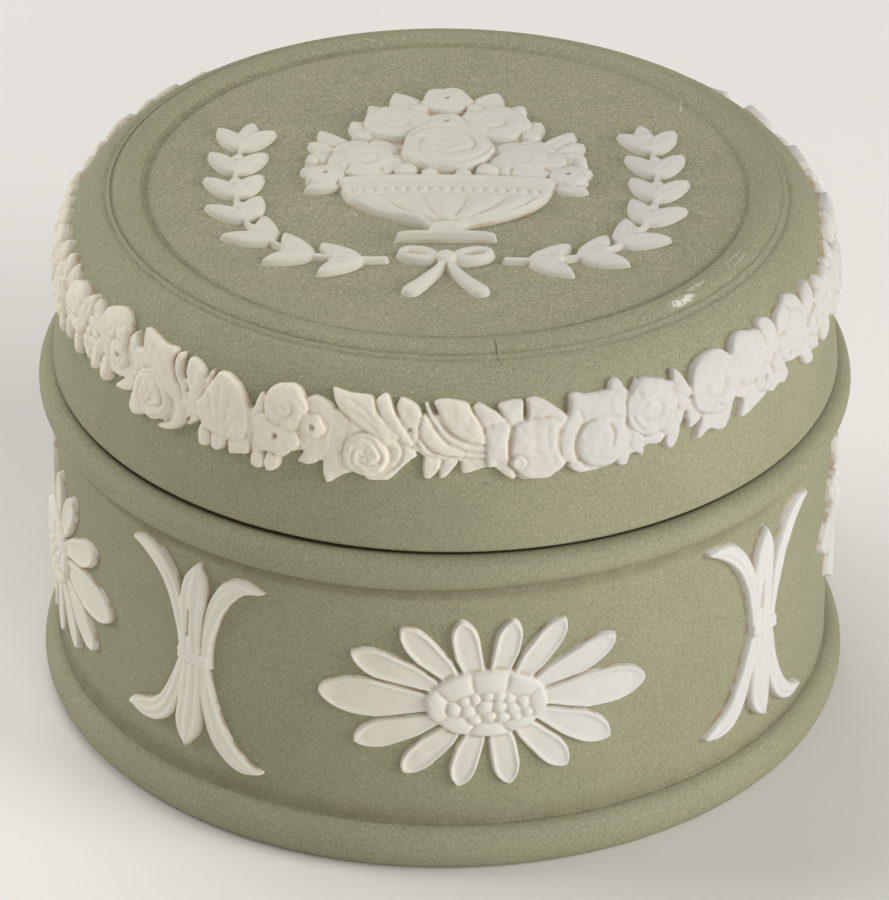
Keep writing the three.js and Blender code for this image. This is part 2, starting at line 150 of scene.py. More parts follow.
def turned_shell(name, outline, unevenness):
    """A shell turned about Z: x = r sin a, y = -r cos a, with r and z from the outline at each step.

    The steps are closer together where the outline bends. unevenness(a, r, z) shifts r and z a little.
    The mark for hollows stands for grime in the creases and for the shade that falls there, painted in: it is
    strongest at the front left, where that shade is deepest."""
    total = along(outline)[-1]
    fine = averaged(spaced(outline, np.linspace(0, total, int(total / PROFILE_STEP))), EDGE_SOFTNESS)
    ahead = np.gradient(fine, axis=0)
    heading = np.unwrap(np.arctan2(ahead[:, 1], ahead[:, 0]))
    effort = np.abs(np.gradient(heading)) / LARGEST_TURN + PROFILE_STEP / LONGEST_STEP
    effort = np.concatenate([[0], np.cumsum(effort)[1:]])
    count = np.arange(len(fine))
    picked = np.interp(np.linspace(0, effort[-1], int(effort[-1]) + 1), effort, count)[1:-1]
    ring = np.column_stack([np.interp(picked, count, fine[:, axis]) for axis in (0, 1)])
    hollow = np.interp(picked, count, hollows(fine))
    upward = np.interp(picked, count, ahead[:, 0] / np.hypot(*ahead.T))
    dusty = eased(-upward) * (ring[:, 1] > SEAT) * (0.4 + 0.6 * eased((DUSTY_RADIUS - ring[:, 0]) / 0.8))
    angle = np.linspace(0, 2 * np.pi, SHELL_SIDES, endpoint=False)[:, None]
    shift_r, shift_z = unevenness(angle, ring[:, 0], ring[:, 1])
    r, z = ring[:, 0] + shift_r, ring[:, 1] + shift_z
    grid = np.stack([r * np.sin(angle), -r * np.cos(angle), z], axis=-1).reshape(-1, 3)
    poles = [[0, 0, fine[0, 1]], [0, 0, fine[-1, 1]]]
    steps = len(ring)
    side = np.arange(SHELL_SIDES)[:, None] * steps
    after = np.roll(side, -1, axis=0)
    step = np.arange(steps - 1)
    quads = np.stack([side + step, after + step, after + step + 1, side + step + 1], axis=-1)
    first, last = len(grid), len(grid) + 1
    caps = np.concatenate([
        np.column_stack([np.full(SHELL_SIDES, first), after[:, 0], side[:, 0]]),
        np.column_stack([np.full(SHELL_SIDES, last), side[:, 0] + steps - 1, after[:, 0] + steps - 1]),
    ])
    # Painted shade: the dark mark in the creases is made stronger towards the front left, where they lie in
    # shade, and weaker towards the back right.
    hollow = hollow * (0.62 + 0.38 * np.cos(angle - SHADED_SIDE))
    marks = {"hollow": hollow, "dusty": np.tile(dusty, (SHELL_SIDES, 1))}
    marks = {mark: np.concatenate([values.ravel(), values[0, [0, -1]]]) for mark, values in marks.items()}
    return mesh_piece(name, np.vstack([grid, poles]), quads, caps, **marks)


def base_unevenness(angle, r, z):
    """Hand work: the ring is a few hundredths of a millimetre out of round, its rim is a little wavy, and
    the crease under the rim runs higher on the right of the front than on the left."""
    out_of_round = 0.05 * np.cos(2 * angle + 0.6) + 0.02 * np.cos(3 * angle - 1.1)
    wavy = 0.05 * np.cos(2 * angle - 0.4) + 0.03 * np.cos(5 * angle)
    tilt = CREASE_TILT * np.tanh(6 * np.sin(angle - 0.07)) * np.exp(-((z - WALL_TOP) / 1.3) ** 2)
    return out_of_round * r / WALL_RADIUS, wavy * np.clip((z - FOOT_HEIGHT) / WALL_TOP, 0, 1) + tilt


base_outline = np.vstack([
    [[0, FOOT_HOLLOW], [FOOT_INSIDE - FOOT_HOLLOW, FOOT_HOLLOW], [FOOT_INSIDE, 0], [WALL_RADIUS, 0]],
    arc((WALL_RADIUS, FOOT_HEIGHT / 2), (FOOT_OVERHANG, FOOT_HEIGHT / 2), -90, 90),
    arc((WALL_RADIUS, (WALL_TOP + SEAT) / 2), (RIM_OVERHANG, (SEAT - WALL_TOP) / 2), -90, 90),
    [[39.35, SEAT - 0.05], [38.7, SEAT - SEAT_FALL], [COLLAR_RADIUS + 0.3, SEAT - SEAT_FALL]],
    [[COLLAR_RADIUS, SEAT - 0.3], [COLLAR_RADIUS, COLLAR_TOP], [INNER_RADIUS, COLLAR_TOP]],
    arc((INNER_RADIUS - FLOOR_FILLET, FLOOR + FLOOR_FILLET), (FLOOR_FILLET, FLOOR_FILLET), 0, -90),
    [[0, FLOOR]],
])
base_shell = turned_shell("base_shell", base_outline, base_unevenness)


def linear(red, green, blue):
    """A colour given on a 0 to 255 scale, as the linear colour that a shader takes."""
    share = np.array([red, green, blue]) / 255
    return (*np.where(share <= 0.04045, share / 12.92, ((share + 0.055) / 1.055) ** 2.4), 1)


def group(name, inputs, outputs):
    """An empty shader node group with number inputs and number outputs."""
    tree = bpy.data.node_groups.new(name, "ShaderNodeTree")
    for label, default in inputs.items():
        socket = tree.interface.new_socket(label, in_out="INPUT", socket_type="NodeSocketFloat")
        socket.default_value = default
    for label in outputs:
        tree.interface.new_socket(label, in_out="OUTPUT", socket_type="NodeSocketFloat")
    return tree, tree.nodes.new("NodeGroupInput").outputs, tree.nodes.new("NodeGroupOutput").inputs


def feed(tree, socket, value):
    """Sets a socket to a plain value, or links it to the output of another node."""
    if isinstance(value, bpy.types.NodeSocket):
        tree.links.new(value, socket)
    else:
        socket.default_value = value


def calculate(tree, operation, *values):
    """The result of a Math node."""
    node = tree.nodes.new("ShaderNodeMath")
    node.operation = operation
    for socket, value in zip(node.inputs, values):
        feed(tree, socket, value)
    return node.outputs[0]


def times(tree, *values):
    """The product of two or more numbers."""
    product = values[0]
    for value in values[1:]:
        product = calculate(tree, "MULTIPLY", product, value)
    return product


def here(tree):
    """The place on the piece, in the object's own coordinates."""
    return tree.nodes.new("ShaderNodeTexCoord").outputs["Object"]


def across_back_up(tree):
    """The three coordinates of the place on the piece, in metres."""
    node = tree.nodes.new("ShaderNodeSeparateXYZ")
    tree.links.new(here(tree), node.inputs["Vector"])
    return node.outputs


def marked(tree, name):
    """A value that the piece's mesh carries at each of its corners."""
    node = tree.nodes.new("ShaderNodeAttribute")
    node.attribute_name = name
    return node.outputs["Fac"]


def noise(tree, size, detail=2.0, roughness=0.5):
    """Soft noise between 0 and 1, its patches about size millimetres across."""
    node = tree.nodes.new("ShaderNodeTexNoise")
    node.inputs["Detail"].default_value = detail
    node.inputs["Roughness"].default_value = roughness
    scale = 1 / (size * MM) if isinstance(size, (int, float)) else calculate(tree, "DIVIDE", 1 / MM, size)
    feed(tree, node.inputs["Scale"], scale)
    tree.links.new(here(tree), node.inputs["Vector"])
    return node.outputs["Fac"]


def ramp(tree, value, low, high, bottom=0.0, top=1.0):
    """A smooth step from bottom to top while the value goes from low to high."""
    node = tree.nodes.new("ShaderNodeMapRange")
    node.interpolation_type = "SMOOTHSTEP"
    labels = ("Value", "From Min", "From Max", "To Min", "To Max")
    for label, number in zip(labels, (value, low, high, bottom, top)):
        feed(tree, node.inputs[label], number)
    return node.outputs["Result"]


def grain_group():
    """Fine sandy grain and broad cloudiness: Tone multiplies a colour, Height is for a bump."""
    inputs = {"Grain": 0.1, "Clouds": 0.05, "Grain Size": 0.3}
    tree, given, results = group("clay_grain", inputs, ["Tone", "Height"])
    fine = noise(tree, given["Grain Size"], 3.0, 0.65)
    broad = noise(tree, 9.0, 3.0)
    sand = times(tree, calculate(tree, "SUBTRACT", fine, 0.5), given["Grain"])
    cloud = times(tree, calculate(tree, "SUBTRACT", broad, 0.5), given["Clouds"])
    feed(tree, results["Tone"], calculate(tree, "ADD", calculate(tree, "ADD", sand, cloud), 1.0))
    feed(tree, results["Height"], fine)
    return tree


def speck_group():
    """Scattered round specks, such as bright grit or dark pits: Mask is 1 on a speck."""
    tree, given, results = group("clay_specks", {"Size": 0.5, "Share": 0.1, "Spread": 0.25}, ["Mask"])
    cells = tree.nodes.new("ShaderNodeTexVoronoi")
    tree.links.new(here(tree), cells.inputs["Vector"])
    feed(tree, cells.inputs["Scale"], calculate(tree, "DIVIDE", 1 / MM, given["Size"]))
    chance = tree.nodes.new("ShaderNodeSeparateColor")
    tree.links.new(cells.outputs["Color"], chance.inputs["Color"])
    chosen = calculate(tree, "LESS_THAN", chance.outputs["Red"], given["Share"])
    near = ramp(tree, cells.outputs["Distance"], given["Spread"], 0.0)
    feed(tree, results["Mask"], times(tree, chosen, near))
    return tree


def hollow_group():
    """Where the surface lies lower than its surroundings, broken up by noise: a mask for grime, stain and
    painted shade in creases.
    """
    tree, given, results = group("clay_hollows", {"From": 0.02, "Full": 0.2, "Broken": 0.5}, ["Mask"])
    deep = ramp(tree, marked(tree, "hollow"), given["From"], given["Full"])
    least = calculate(tree, "SUBTRACT", 1.0, given["Broken"])
    feed(tree, results["Mask"], times(tree, deep, ramp(tree, noise(tree, 2.2, 3.0), 0.35, 0.65, least)))
    return tree


def dust_group():
    """Fine pale dust that settles on faces that look up, thicker in patches: a mask from the dusty mark."""
    tree, given, results = group("settled_dust", {"Patchy": 0.4}, ["Mask"])
    least = calculate(tree, "SUBTRACT", 1.0, given["Patchy"])
    patchy = ramp(tree, noise(tree, 4.0, 2.0), 0.3, 0.7, least)
    feed(tree, results["Mask"], times(tree, marked(tree, "dusty"), patchy))
    return tree


def streak_group():
    """A scuff or scratch on top of the lid: Mask is 1 along a streak round a place, broken up by noise."""
    inputs = {"X": 0.0, "Y": 0.0, "Turn": 0.0, "Length": 2.0, "Width": 0.3}
    tree, given, results = group("lid_streak", inputs, ["Mask"])
    place = across_back_up(tree)
    cos, sin = calculate(tree, "COSINE", given["Turn"]), calculate(tree, "SINE", given["Turn"])
    right = calculate(tree, "SUBTRACT", calculate(tree, "DIVIDE", place["X"], MM), given["X"])
    back = calculate(tree, "SUBTRACT", calculate(tree, "DIVIDE", place["Y"], MM), given["Y"])
    ahead = calculate(tree, "ADD", times(tree, right, cos), times(tree, back, sin))
    aside = calculate(tree, "SUBTRACT", times(tree, back, cos), times(tree, right, sin))
    ahead = calculate(tree, "DIVIDE", ahead, given["Length"])
    aside = calculate(tree, "DIVIDE", aside, given["Width"])
    away = calculate(tree, "ADD", times(tree, ahead, ahead), times(tree, aside, aside))
    on_top = ramp(tree, place["Z"], 54 * MM, 54.5 * MM)
    broken = ramp(tree, noise(tree, 0.5, 3.0), 0.42, 0.56, 0.15, 1.0)
    feed(tree, results["Mask"], times(tree, ramp(tree, away, 1.0, 0.2), on_top, broken))
    return tree


GRAIN = grain_group()
SPECKS = speck_group()
HOLLOWS = hollow_group()
DUST = dust_group()
STREAK = streak_group()


def use(tree, shader_group, **values):
    """Places a shader node group in a material with its own values and gives its outputs."""
    node = tree.nodes.new("ShaderNodeGroup")
    node.node_tree = shader_group
    for label, value in values.items():
        feed(tree, node.inputs[label.replace("_", " ")], value)
    return node.outputs


def blended(tree, share, first, second):
    """The mix of two colours by a share between 0 and 1."""
    node = tree.nodes.new("ShaderNodeMix")
    node.data_type = "RGBA"
    for socket, value in zip((node.inputs[0], node.inputs[6], node.inputs[7]), (share, first, second)):
        feed(tree, socket, value)
    return node.outputs[2]


def toned(tree, tone, colour):
    """A colour made lighter or darker by a factor."""
    node = tree.nodes.new("ShaderNodeHueSaturation")
    feed(tree, node.inputs["Value"], tone)
    feed(tree, node.inputs["Color"], colour)
    return node.outputs["Color"]


def bumped(tree, height, depth):
    """A normal bent by a height between 0 and 1 that stands for depth millimetres."""
    node = tree.nodes.new("ShaderNodeBump")
    node.inputs["Distance"].default_value = depth * MM
    feed(tree, node.inputs["Height"], height)
    return node.outputs["Normal"]


def new_material(name):
    """A material with only its Principled shader and output."""
    material = bpy.data.materials.new(name)
    material.use_nodes = True
    return material, material.node_tree, material.node_tree.nodes["Principled BSDF"].inputs


SAGE = linear(146, 145, 115)
DUSTY_SAGE = linear(160, 153, 130)
# Brown-green of grime and of painted shade in creases
SAGE_GRIME_AND_SHADE = linear(94, 84, 60)
SAGE_PIT = linear(88, 82, 60)

# Specks in the green clay: size, share, strength and colour
GREEN_SPECKS = [
    (0.27, 0.28, 0.75, linear(224, 220, 208)), (0.3, 0.14, 0.65, linear(196, 160, 106)),
    (0.28, 0.24, 0.55, linear(86, 82, 66)),
]

# Marks of use on top of the lid: place across and back, turn, half length, half width, strength, colour
LID_STREAKS = [
    (4.94, -33.03, -81.5, 1.9, 0.14, 0.75, linear(84, 78, 56)),
    (22.9, -23.7, 44, 2.3, 0.55, 0.8, linear(228, 224, 212)),
    (24.4, -21.2, 50, 1.6, 0.3, 0.5, linear(222, 218, 204)),
    (28.2, -15.4, 58, 2.2, 0.12, 0.5, linear(206, 202, 180)),
    (28.9, -15.6, 64, 2.0, 0.1, 0.45, linear(206, 202, 180)),
    (24.0, 17.5, 87, 1.5, 0.16, 0.7, linear(222, 218, 204)),
]


def green_clay():
    """Unglazed sage-green clay: sandy grain, thin dust and grit on top, a darker line in hollows that is
    both grime and painted shade, a few scuffs on the lid."""
    material, tree, shader = new_material("green_clay_finish")
    dust = use(tree, DUST, Patchy=0.4)["Mask"]
    grain = use(tree, GRAIN, Grain=ramp(tree, dust, 0.0, 1.0, 1.2, 1.7), Clouds=0.18, Grain_Size=0.24)
    colour = toned(tree, grain["Tone"], SAGE)
    dusty_share = ramp(tree, dust, 0.4, 1.0, 0.0, 0.3)
    colour = blended(tree, dusty_share, colour, toned(tree, grain["Tone"], DUSTY_SAGE))
    # Grime and painted shade: the hollows and creases are darkened towards brown-green, more at the front left.
    deep = times(tree, use(tree, HOLLOWS, From=0.005, Full=0.08, Broken=0.4)["Mask"], 0.44)
    colour = blended(tree, deep, colour, SAGE_GRIME_AND_SHADE)
    settled = ramp(tree, dust, 0.0, 0.6, 0.25, 1.0)
    for size, share, strength, tint in GREEN_SPECKS:
        specks = use(tree, SPECKS, Size=size, Share=share, Spread=0.4)["Mask"]
        colour = blended(tree, times(tree, specks, strength, settled), colour, tint)
    for across, back, turn, length, width, strength, tint in LID_STREAKS:
        streak = use(tree, STREAK, X=across, Y=back, Turn=np.radians(turn), Length=length, Width=width)["Mask"]
        colour = blended(tree, times(tree, streak, strength), colour, tint)
    pits = times(tree, use(tree, SPECKS, Size=1.3, Share=0.05, Spread=0.16)["Mask"], 0.55)
    colour = blended(tree, pits, colour, SAGE_PIT)
    feed(tree, shader["Base Color"], colour)
    feed(tree, shader["Roughness"], ramp(tree, grain["Height"], 0.3, 0.7, 0.62, 0.76))
    shader["Specular IOR Level"].default_value = 0.4
    feed(tree, shader["Normal"], bumped(tree, calculate(tree, "SUBTRACT", grain["Height"], pits), 0.03))
    return material


GREEN_CLAY = green_clay()


def hand_over(piece, material, body, node):
    """Gives a piece its finish, lets it move with its body and stand for its CAD node."""
    piece.data.materials.append(material)
    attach(piece, body)
    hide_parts(node)


hand_over(base_shell, GREEN_CLAY, "base", "base_body")

# Lid: the upper half, a shell of the same green clay. Its skirt leans in a little and drops over the
# collar; the shoulder rounds over to a raised ring that frames a flat panel.
LID_BORE = 37.35
LID_RADIUS = 39.95
LID_BOTTOM = 36.55
LIP_ROUND = 0.3
SKIRT_TOP = 49.5
SKIRT_LEAN = 1.5
PANEL = 55.1
CEILING = 52.1
CEILING_ROUND = 4.0
COLLAR_ROOM = 40.15


def smooth_path(knots, count=40):
    """A curve through the knots: each coordinate follows a smooth cubic between one knot and the next."""
    knots = np.asarray(knots, float)
    slopes = np.gradient(knots, axis=0)
    place = np.linspace(0, len(knots) - 1, count)
    index = np.minimum(place.astype(int), len(knots) - 2)
    t = (place - index)[:, None]
    start, end, leave, reach = knots[index], knots[index + 1], slopes[index], slopes[index + 1]
    return (
        (2 * t ** 3 - 3 * t ** 2 + 1) * start + (t ** 3 - 2 * t ** 2 + t) * leave
        + (3 * t ** 2 - 2 * t ** 3) * end + (t ** 3 - t ** 2) * reach
    )


def bend(*knots):
    """A Bezier curve through the weighted mean of its three or four knots, from the first to the last."""
    t = np.linspace(0, 1, 60)[:, None]
    points = [np.asarray(knot, float) for knot in knots]
    while len(points) > 1:
        points = [(1 - t) * near + t * far for near, far in zip(points, points[1:])]
    return points[0]


lid_side = np.vstack([
    [[LID_RADIUS, LID_BOTTOM + LIP_ROUND]],
    bend(
        (LID_RADIUS - SKIRT_LEAN, SKIRT_TOP), (LID_RADIUS - 1.2 * SKIRT_LEAN, 52.3),
        (LID_RADIUS - 2.5 * SKIRT_LEAN, 54.15), (34.85, 54.9),
    ),
])
lid_outline = np.vstack([
    [[0, CEILING]],
    bend((LID_BORE - SKIRT_LEAN - CEILING_ROUND, CEILING), (LID_BORE - SKIRT_LEAN, CEILING),
         (LID_BORE - SKIRT_LEAN, CEILING - CEILING_ROUND)),
    [[LID_BORE, COLLAR_ROOM], [LID_BORE, LID_BOTTOM], [LID_RADIUS - LIP_ROUND, LID_BOTTOM]],
    lid_side,
    smooth_path([
        (34.65, 54.92), (34.4, 54.92), (34.2, 55.02), (34.02, 55.2), (33.86, 55.27), (33.74, 55.24),
        (33.62, 55.24), (33.5, 55.34), (33.2, 55.56), (32.8, 55.78), (32.3, 55.9), (31.8, 55.92),
        (31.4, 55.84), (31.05, 55.62), (30.75, 55.38), (30.55, 55.22), (30.4, 55.1), (30.25, 55.1),
        (30.0, 55.16), (29.6, 55.2), (28.8, 55.16), (26, PANEL),
    ], 120),
    [[0, PANEL]],
])


def lid_unevenness(angle, r, z):
    """Hand work: a little out of round, a lip that stands higher towards the left of the front, and round
    the ring a tool's groove that is deep on the left with a second one outside it on the right."""
    out_of_round = 0.04 * np.cos(2 * angle - 0.9) + 0.02 * np.cos(3 * angle + 0.5)
    lip = np.clip((LID_BOTTOM + 6 - z) / 6, 0, 1) ** 2
    inner_groove = 0.08 * (1 + np.cos(angle + 0.9)) * np.exp(-((r - 33.68) / 0.13) ** 2)
    outer_groove = 0.04 * (1 + np.cos(angle - 1.1)) * np.exp(-((r - 34.4) / 0.16) ** 2)
    grooves = (inner_groove + outer_groove) * (z > CEILING + 1)
    return out_of_round * r / LID_RADIUS, 0.14 * np.cos(angle + 1.0) * lip - grooves


lid_turned = turned_shell("lid_turned", lid_outline, lid_unevenness)
hand_over(lid_turned, GREEN_CLAY, "lid", "lid_shell")

# Daisies: four thin flowers of pale clay pressed in a mould and laid on the wall while damp. Each has
# fourteen spoon-shaped petals with a raised rim, and an oval boss of flat lobes round small cobbles.
SINK = 0.25
BACK = 0.1

# Angle round the box and height of the middle of each daisy
DAISY_PLACES = {
    "daisy_1": (6.2, 19.05), "daisy_2": (97, 19.25), "daisy_3": (187, 19.25), "daisy_4": (280.3, 17.35),
}
DAISY_BOUNDS = (-17.6, 17.4, -10.2, 11.0)
DAISY_STEP = 0.12
PETAL_EDGE = 0.22
PETAL_RIM = 0.75
PETAL_FLOOR = 0.46
PETAL_GAP = 0.1
PETAL_WIDEST = 0.6
PETAL_ROOT = 0.95

# Petals: root and tip, each across and above the middle, and the greatest width
DAISY_PETALS = [
    (-5.6, 0.35, -16.7, 0.75, 4.5), (-5.0, 2.0, -13.4, 5.75, 3.4), (-3.3, 2.8, -8.4, 9.05, 3.1),
    (-1.3, 3.1, -2.6, 9.95, 2.95), (1.35, 3.3, 2.6, 9.85, 2.85), (3.3, 3.2, 7.75, 9.35, 3.0),
    (5.4, 2.0, 13.1, 6.2, 3.2), (5.9, 0.35, 16.5, 0.45, 4.3), (5.4, -1.1, 12.7, -5.55, 3.55),
    (3.6, -2.3, 8.15, -8.0, 3.15), (1.35, -3.0, 2.3, -9.4, 2.95), (-1.2, -3.1, -2.85, -9.4, 2.9),
    (-3.2, -2.4, -8.25, -7.85, 3.1), (-5.2, -1.2, -13.1, -4.65, 3.4),
]

# Cells of the boss: middle, half length and half width. The lobes come first, then the cobbles.
BOSS_LOBES = 8
BOSS_CELLS = [
    (-5.1, 0.3, 1.15, 1.6), (-3.1, 2.7, 1.7, 1.6), (0.3, 3.2, 1.75, 1.5), (3.65, 2.8, 1.7, 1.55),
    (5.2, 0.1, 1.1, 1.5), (-3.1, -2.15, 1.7, 0.85), (0.05, -2.7, 1.65, 0.75), (3.3, -2.2, 1.5, 0.85),
    (-3.3, 0.0, 0.75, 0.8), (-2.2, 0.85, 0.72, 0.62), (-1.85, -0.35, 0.7, 0.7), (-1.2, 1.0, 0.66, 0.62),
    (-0.25, 0.15, 0.85, 0.85), (-1.3, -1.35, 0.7, 0.55), (0.05, 1.35, 0.7, 0.55), (0.2, -0.95, 0.75, 0.62),
    (1.15, 1.25, 0.66, 0.62), (1.15, 0.1, 0.72, 0.7), (1.5, -1.15, 0.75, 0.6), (2.1, 0.95, 0.6, 0.62),
    (2.5, -0.25, 0.72, 0.72), (3.5, 0.35, 0.66, 0.8), (2.75, -1.2, 0.6, 0.55), (3.9, -0.75, 0.62, 0.6),
]


def flat_grid(left, right, bottom, top, step):
    """Places across and up on a flat grid, two arrays of the same shape."""
    return np.meshgrid(np.arange(left, right + step, step), np.arange(bottom, top + step, step))


def raised(inside, top, edge):
    """Height of a form: under the ground outside its outline, then up a rounded side to its top."""
    return (top + SINK) * eased(inside / edge) - SINK


def beside(u, v, path):
    """For each grid place, its share along a flat path (0 to 1) and its distance from it, plus to the left.

    The nearest point is found on each straight stretch of the path in turn, and the closest one counts."""
    path = np.asarray(path, float)
    length = along(path)
    best = np.full(u.shape, np.inf)
    share, side = np.zeros(u.shape), np.zeros(u.shape)
    for start, end, before, after in zip(path, path[1:], length, length[1:]):
        reach = end - start
        part = np.clip(((u - start[0]) * reach[0] + (v - start[1]) * reach[1]) / (reach @ reach), 0, 1)
        off_u, off_v = u - start[0] - part * reach[0], v - start[1] - part * reach[1]
        distance = np.hypot(off_u, off_v)
        closer = distance < best
        best = np.where(closer, distance, best)
        share = np.where(closer, (before + part * (after - before)) / length[-1], share)
        side = np.where(closer, np.sign(reach[0] * off_v - reach[1] * off_u), side)
    return share, best * np.where(side < 0, -1, 1)


def bellied(share, widest, sharp):
    """Half width of a leaf along its length, 1 where it is widest: share^a (1 - share)^sharp."""
    rise = sharp * widest / (1 - widest)
    share = np.clip(share, 0, 1)
    return (share / widest) ** rise * ((1 - share) / (1 - widest)) ** sharp


def petal_reach(u, v, root, tip, width):
    """How far each place lies inside a petal's outline, and its share along the petal.

    From its root the petal widens to its widest place, then narrows to a blunt tip as an ellipse does."""
    share, off = beside(u, v, [root, tip])
    widening = PETAL_ROOT + (1 - PETAL_ROOT) * np.sin(np.pi / 2 * np.clip(share / PETAL_WIDEST, 0, 1))
    past = np.clip((share - PETAL_WIDEST) / (1 - PETAL_WIDEST), 0, 1)
    return width / 2 * widening * (1 - past ** 2.2) ** 0.62 - np.abs(off), share


def petals(u, v):
    """All the petals of a flower: a thin raised rim round a shallow floor, and a dark gap between neighbours.

    Where two petals meet, each counts as ending half the gap short of the line that shares the ground out."""
    found = [petal_reach(u, v, (a, b), (c, d), width) for a, b, c, d, width in DAISY_PETALS]
    reaches, shares = np.array(found).swapaxes(0, 1)
    order = np.sort(reaches, axis=0)
    inside = np.minimum(order[-1], (order[-1] - order[-2]) / 2 - PETAL_GAP / 2)
    share = np.take_along_axis(shares, np.argmax(reaches, axis=0)[None], axis=0)[0]
    hollow = eased((inside - 0.06) / 0.75) * (1 - 0.7 * eased((share - 0.84) / 0.16))
    rim = PETAL_RIM * (0.86 + 0.14 * eased((share - 0.2) / 0.4))
    return raised(inside, rim - (rim - PETAL_FLOOR) * hollow, PETAL_EDGE)


def boss(u, v):
    """The middle of the flower: a low dome shared out between cells, each to the nearest middle when its
    distance is counted in the cell's own size, with a soft groove along every border and a wavy rim."""
    away = np.array([np.hypot((u - a) / length, (v - b) / width) for a, b, length, width in BOSS_CELLS])
    order = np.sort(away, axis=0)
    size = np.where(np.argmin(away, axis=0) < BOSS_LOBES, 1.25, 0.66)
    groove = 0.16 * np.exp(-((order[1] - order[0]) * size / 0.26) ** 2)
    pillow = 0.19 * np.clip(1 - order[0] ** 2, 0, 1)
    scallops = 0.015 * np.cos(9 * np.arctan2(v * 1.8, u))
    share = np.hypot(u / 6.3, (v - 0.4) / 4.05) - scallops
    return raised(3.7 * (1 - share), 1.0 - 0.12 * share ** 2 + pillow - groove, 0.35)


def cushion(u, v, middle, half_length, half_width, turn, low, high):
    """An oval cushion: its height falls from high in the middle to low at the edge, as on an ellipsoid."""
    across, up = u - middle[0], v - middle[1]
    cos, sin = np.cos(np.radians(turn)), np.sin(np.radians(turn))
    away = np.hypot((across * cos + up * sin) / half_length, (up * cos - across * sin) / half_width)
    inside = (1 - away) * min(half_length, half_width)
    return raised(inside, low + (high - low) * np.sqrt(np.clip(1 - away ** 2, 0, 1)), 0.25)


def softened(values, passes):
    """Each value averaged with its neighbours in the grid, weights 1-2-1 both ways."""
    for _ in range(passes):
        for axis in (0, 1):
            wide = np.pad(values, [(1, 1) if axis == side else (0, 0) for side in (0, 1)], mode="edge")
            places = np.arange(values.shape[axis])
            lower, middle, upper = (np.take(wide, places + ahead, axis) for ahead in (0, 1, 2))
            values = (lower + 2 * middle + upper) / 4
    return values


def rough_touch(shape, step, size, seed):
    """Smooth unevenness between about -1 and 1 with patches of the given size, from random knots."""
    rows, columns = (int(count * step / size) + 4 for count in shape)
    knots = np.random.default_rng(seed).uniform(-1, 1, (rows, columns))
    down = np.linspace(1, rows - 2, shape[0])[:, None]
    right = np.linspace(1, columns - 2, shape[1])[None, :]
    y, x = np.floor(down).astype(int), np.floor(right).astype(int)
    fy, fx = eased(down - y), eased(right - x)
    near = knots[y, x] * (1 - fx) + knots[y, x + 1] * fx
    far = knots[y + 1, x] * (1 - fx) + knots[y + 1, x + 1] * fx
    return near * (1 - fy) + far * fy


def touched(height, step, *touches):
    """A form with the unevenness of clay pressed by hand: each touch is a depth, a patch size and a seed."""
    uneven = sum(depth * rough_touch(height.shape, step, size, seed) for depth, size, seed in touches)
    return height + uneven * (height > 0)


def pressing(name, u, v, height, lay):
    """A thin relief as a closed mesh: the height map in front, a back just under it and sides between.

    Only grid cells that rise above the sunk level are kept. lay(u, v, height) gives each corner's place."""
    rising = height > -SINK + 0.004
    cells = rising[:-1, :-1] | rising[1:, :-1] | rising[:-1, 1:] | rising[1:, 1:]
    for _ in range(3):
        falling = cells[:-1, :-1] & cells[1:, 1:] & ~cells[:-1, 1:] & ~cells[1:, :-1]
        climbing = ~cells[:-1, :-1] & ~cells[1:, 1:] & cells[:-1, 1:] & cells[1:, :-1]
        cells[:-1, 1:] |= falling
        cells[1:, :-1] |= falling
        cells[:-1, :-1] |= climbing
        cells[1:, 1:] |= climbing
    used = np.zeros(height.shape, bool)
    for rows in (slice(None, -1), slice(1, None)):
        for columns in (slice(None, -1), slice(1, None)):
            used[rows, columns] |= cells
    number = np.cumsum(used).reshape(used.shape) - 1
    count = used.sum()
    a, b, c, d = number[:-1, :-1], number[:-1, 1:], number[1:, 1:], number[1:, :-1]
    padded = np.pad(cells, 1)
    quads = [np.stack([a, b, c, d], -1)[cells], np.stack([d, c, b, a], -1)[cells] + count]
    below, right, above, left = padded[:-2, 1:-1], padded[1:-1, 2:], padded[2:, 1:-1], padded[1:-1, :-2]
    for near, far, neighbour in ((a, b, below), (b, c, right), (c, d, above), (d, a, left)):
        edge = cells & ~neighbour
        quads.append(np.stack([near + count, far + count, far, near], -1)[edge])
    front = lay(u[used], v[used], height[used])
    back = lay(u[used], v[used], np.full(count, -SINK - BACK))
    nearby = softened(height, 14)
    hollow = np.concatenate([(nearby - height)[used], np.zeros(count)])
    thickness = np.concatenate([height[used], np.zeros(count)])
    return mesh_piece(name, np.vstack([front, back]), np.vstack(quads), hollow=hollow, thickness=thickness)


def on_wall(turn, middle):
    """Lays flat work on the upright wall, its middle at this angle round the box and at this height."""
    def lay(u, v, height):
        angle = np.radians(turn) + u / WALL_RADIUS
        reach = WALL_RADIUS + height
        return np.column_stack([reach * np.sin(angle), -reach * np.cos(angle), middle + v])
    return lay


# Whites: the side pairs carry painted light and shade, lighter and warmer on the shaded left and darker on the
# lit right; the browns are stain and painted shade.
LIT_SIDE_WHITE = linear(209, 207, 202)
SHADE_SIDE_WHITE = linear(224, 220, 205)
DUSTY_WHITE = linear(192, 190, 176)
LID_LIT_SIDE_WHITE = linear(192, 187, 179)
LID_SHADE_SIDE_WHITE = linear(228, 217, 196)
GREEN_BELOW = linear(190, 184, 160)
EDGE_BROWN_AND_SHADE = linear(166, 142, 106)
RECESS_BROWN_AND_SHADE = linear(178, 156, 120)
WHITE_PIT = linear(150, 132, 104)


